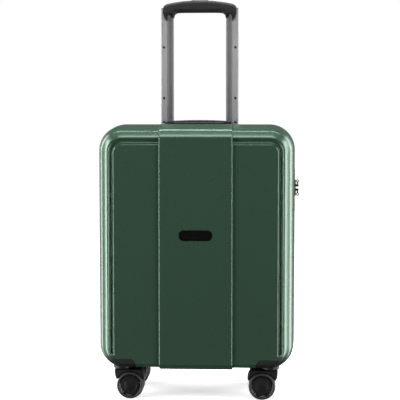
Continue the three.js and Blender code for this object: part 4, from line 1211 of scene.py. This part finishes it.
def make_bezel():
    """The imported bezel, with room for the grip's round shoulders where the trolley is stored."""
    obj = copied("trolley_bezel", "trolley_bezel_finished", 0.8)
    outline = np.array(grip_outline(), float)
    grown = outline - inward(outline) * 0.7
    stored = [(x, z - FIRST_STAGE_TRAVEL) for x, z in grown]
    boolean(obj, [prism(stored, GRIP_LOW.y - 0.7, GRIP_HIGH.y + 0.7, along_y)])
    smooth(obj, 35)


for end, side in ENDS:
    make_zip_half(end, side)
    make_lining(end, side)
make_hinge_cloth()
make_bezel()
# black sheets behind the lock holes stand in for the shade inside them
for side_name, side in SIDES:
    make_hole_shade_sheet(side_name, side)
for width, nodes in ROUNDED.items():
    for node in nodes:
        copied(node, node + "_finished", width)
for node, slot in SLOT_OF.items():
    for place in bpy.data.objects[node].material_slots:
        place.material = SLOT_MATERIAL[slot]


# ---- floor, light and camera

STUDIO_GLOW = 0.06
BACKDROP_GLOW = 0.12
FLOOR_HALF, FLOOR_NEAR, FLOOR_FAR = 9000, 5000, 14000
FLOOR_GLOW = 0.62
FLOOR_BOUNCE = 0.05
CAMERA_DISTANCE = 2.6
CAMERA_HEIGHT = 0.56
CAMERA_TURN = 3
CAMERA_ASIDE = -0.0856
CAMERA_TILT = 3.85
FOCAL_PIXELS = 1303
SENSOR = 36
# name, power, size, place and target; the side lights reach below the floor
LIGHTS = (
    ("left_softbox", 82, (0.7, 3.0), (-2.0, -0.9, 0.4), (0, 0, 0.4)),
    ("left_rim", 60, (1.4, 3.0), (-1.9, 0.9, 0.4), (0, 0, 0.4)),
    ("right_softbox", 70, (0.7, 3.0), (2.0, -0.9, 0.4), (0, 0, 0.4)),
    ("right_rim", 60, (1.4, 3.0), (1.9, 0.9, 0.4), (0, 0, 0.4)),
    ("overhead", 60, (2.2, 0.3), (0, 0, 2.2), (0, -0.1, 0.45)),
    ("front_fill", 7, (1.0, 0.4), (0, -0.9, 1.5), (0, 0, 0.55)),
)


def make_floor():
    """Near white to the camera and hidden from the object, which isn't lit from below."""
    x, near, far = FLOOR_HALF, -FLOOR_NEAR, FLOOR_FAR
    floor = new_object("floor", [(-x, near, 0), (x, near, 0), (x, far, 0), (-x, far, 0)], [(0, 1, 2, 3)])
    made = Nodes("pale_floor", (0.8, 0.8, 0.8), 0.75)
    made.vary_color(made.noise(3, 3), 0.004)
    made.set(made.shader, "Emission Color", (1, 1, 1, 1))
    seen = made.add("LightPath").outputs["Is Camera Ray"]
    away = made.add("VectorMath", Vector=made.add("TexCoord").outputs["Object"])
    away.operation = "LENGTH"
    glow = made.math("MULTIPLY", seen, made.ranged(away.outputs["Value"], 0.35, 1.3, FLOOR_GLOW, 1.0))
    made.put(made.shader.inputs["Emission Strength"], glow)
    tone = made.add("Mix", Factor=seen)
    tone.data_type = "RGBA"
    color = made.shader.inputs["Base Color"]
    bright = color.links[0].from_socket
    tone.inputs[6].default_value = (FLOOR_BOUNCE, FLOOR_BOUNCE, FLOOR_BOUNCE, 1)
    made.put(tone.inputs[7], bright)
    made.put(color, tone.outputs[2])
    floor.data.materials.append(made.material)
    floor.visible_diffuse = floor.visible_glossy = floor.visible_shadow = False


def area_light(name, power, size, place, target):
    data = bpy.data.lights.new(name, "AREA")
    data.energy = power
    data.shape = "RECTANGLE"
    data.size, data.size_y = size
    light = linked(name, data)
    light.location = place
    light.rotation_mode = "QUATERNION"
    light.rotation_quaternion = (Vector(target) - Vector(place)).to_track_quat("-Z", "Y")


def make_world():
    """White to the camera; to the object, a pale backdrop behind it and a dim studio in front."""
    world = bpy.context.scene.world = bpy.data.worlds.new("studio")
    world.use_nodes = True
    tree = world.node_tree
    tree.nodes.clear()
    kinds = ("OutputWorld", "Background", "Background", "MixShader", "LightPath", "TexCoord", "SeparateXYZ",
             "MapRange")
    nodes = [tree.nodes.new("ShaderNode" + kind) for kind in kinds]
    output, seen, lit, mix, path, coordinates, split, spread = nodes
    limits = {"From Min": -0.1, "From Max": 0.8, "To Min": STUDIO_GLOW, "To Max": BACKDROP_GLOW}
    for name, value in limits.items():
        spread.inputs[name].default_value = value
    spread.interpolation_type = "SMOOTHSTEP"
    seen.inputs["Color"].default_value = lit.inputs["Color"].default_value = (1, 1, 1, 1)
    for source, target in (
        (coordinates.outputs["Generated"], split.inputs[0]), (split.outputs["Y"], spread.inputs["Value"]),
        (spread.outputs["Result"], lit.inputs["Strength"]), (path.outputs["Is Camera Ray"], mix.inputs[0]),
        (lit.outputs[0], mix.inputs[1]), (seen.outputs[0], mix.inputs[2]),
        (mix.outputs[0], output.inputs[0]),
    ):
        tree.links.new(source, target)


def make_camera():
    data = bpy.data.cameras.new("camera")
    camera = linked("camera", data)
    turn = math.radians(CAMERA_TURN)
    data.sensor_width = SENSOR
    data.lens = FOCAL_PIXELS * SENSOR / 400
    camera.location = (CAMERA_DISTANCE * math.sin(turn), -CAMERA_DISTANCE * math.cos(turn), CAMERA_HEIGHT)
    camera.rotation_euler = (math.radians(90 - CAMERA_TILT), 0, math.radians(CAMERA_TURN + CAMERA_ASIDE))
    data.clip_end = 100
    bpy.context.scene.camera = camera


make_floor()
make_world()
make_camera()
for light in LIGHTS:
    area_light(*light)
bpy.context.scene.view_settings.view_transform = "Standard"
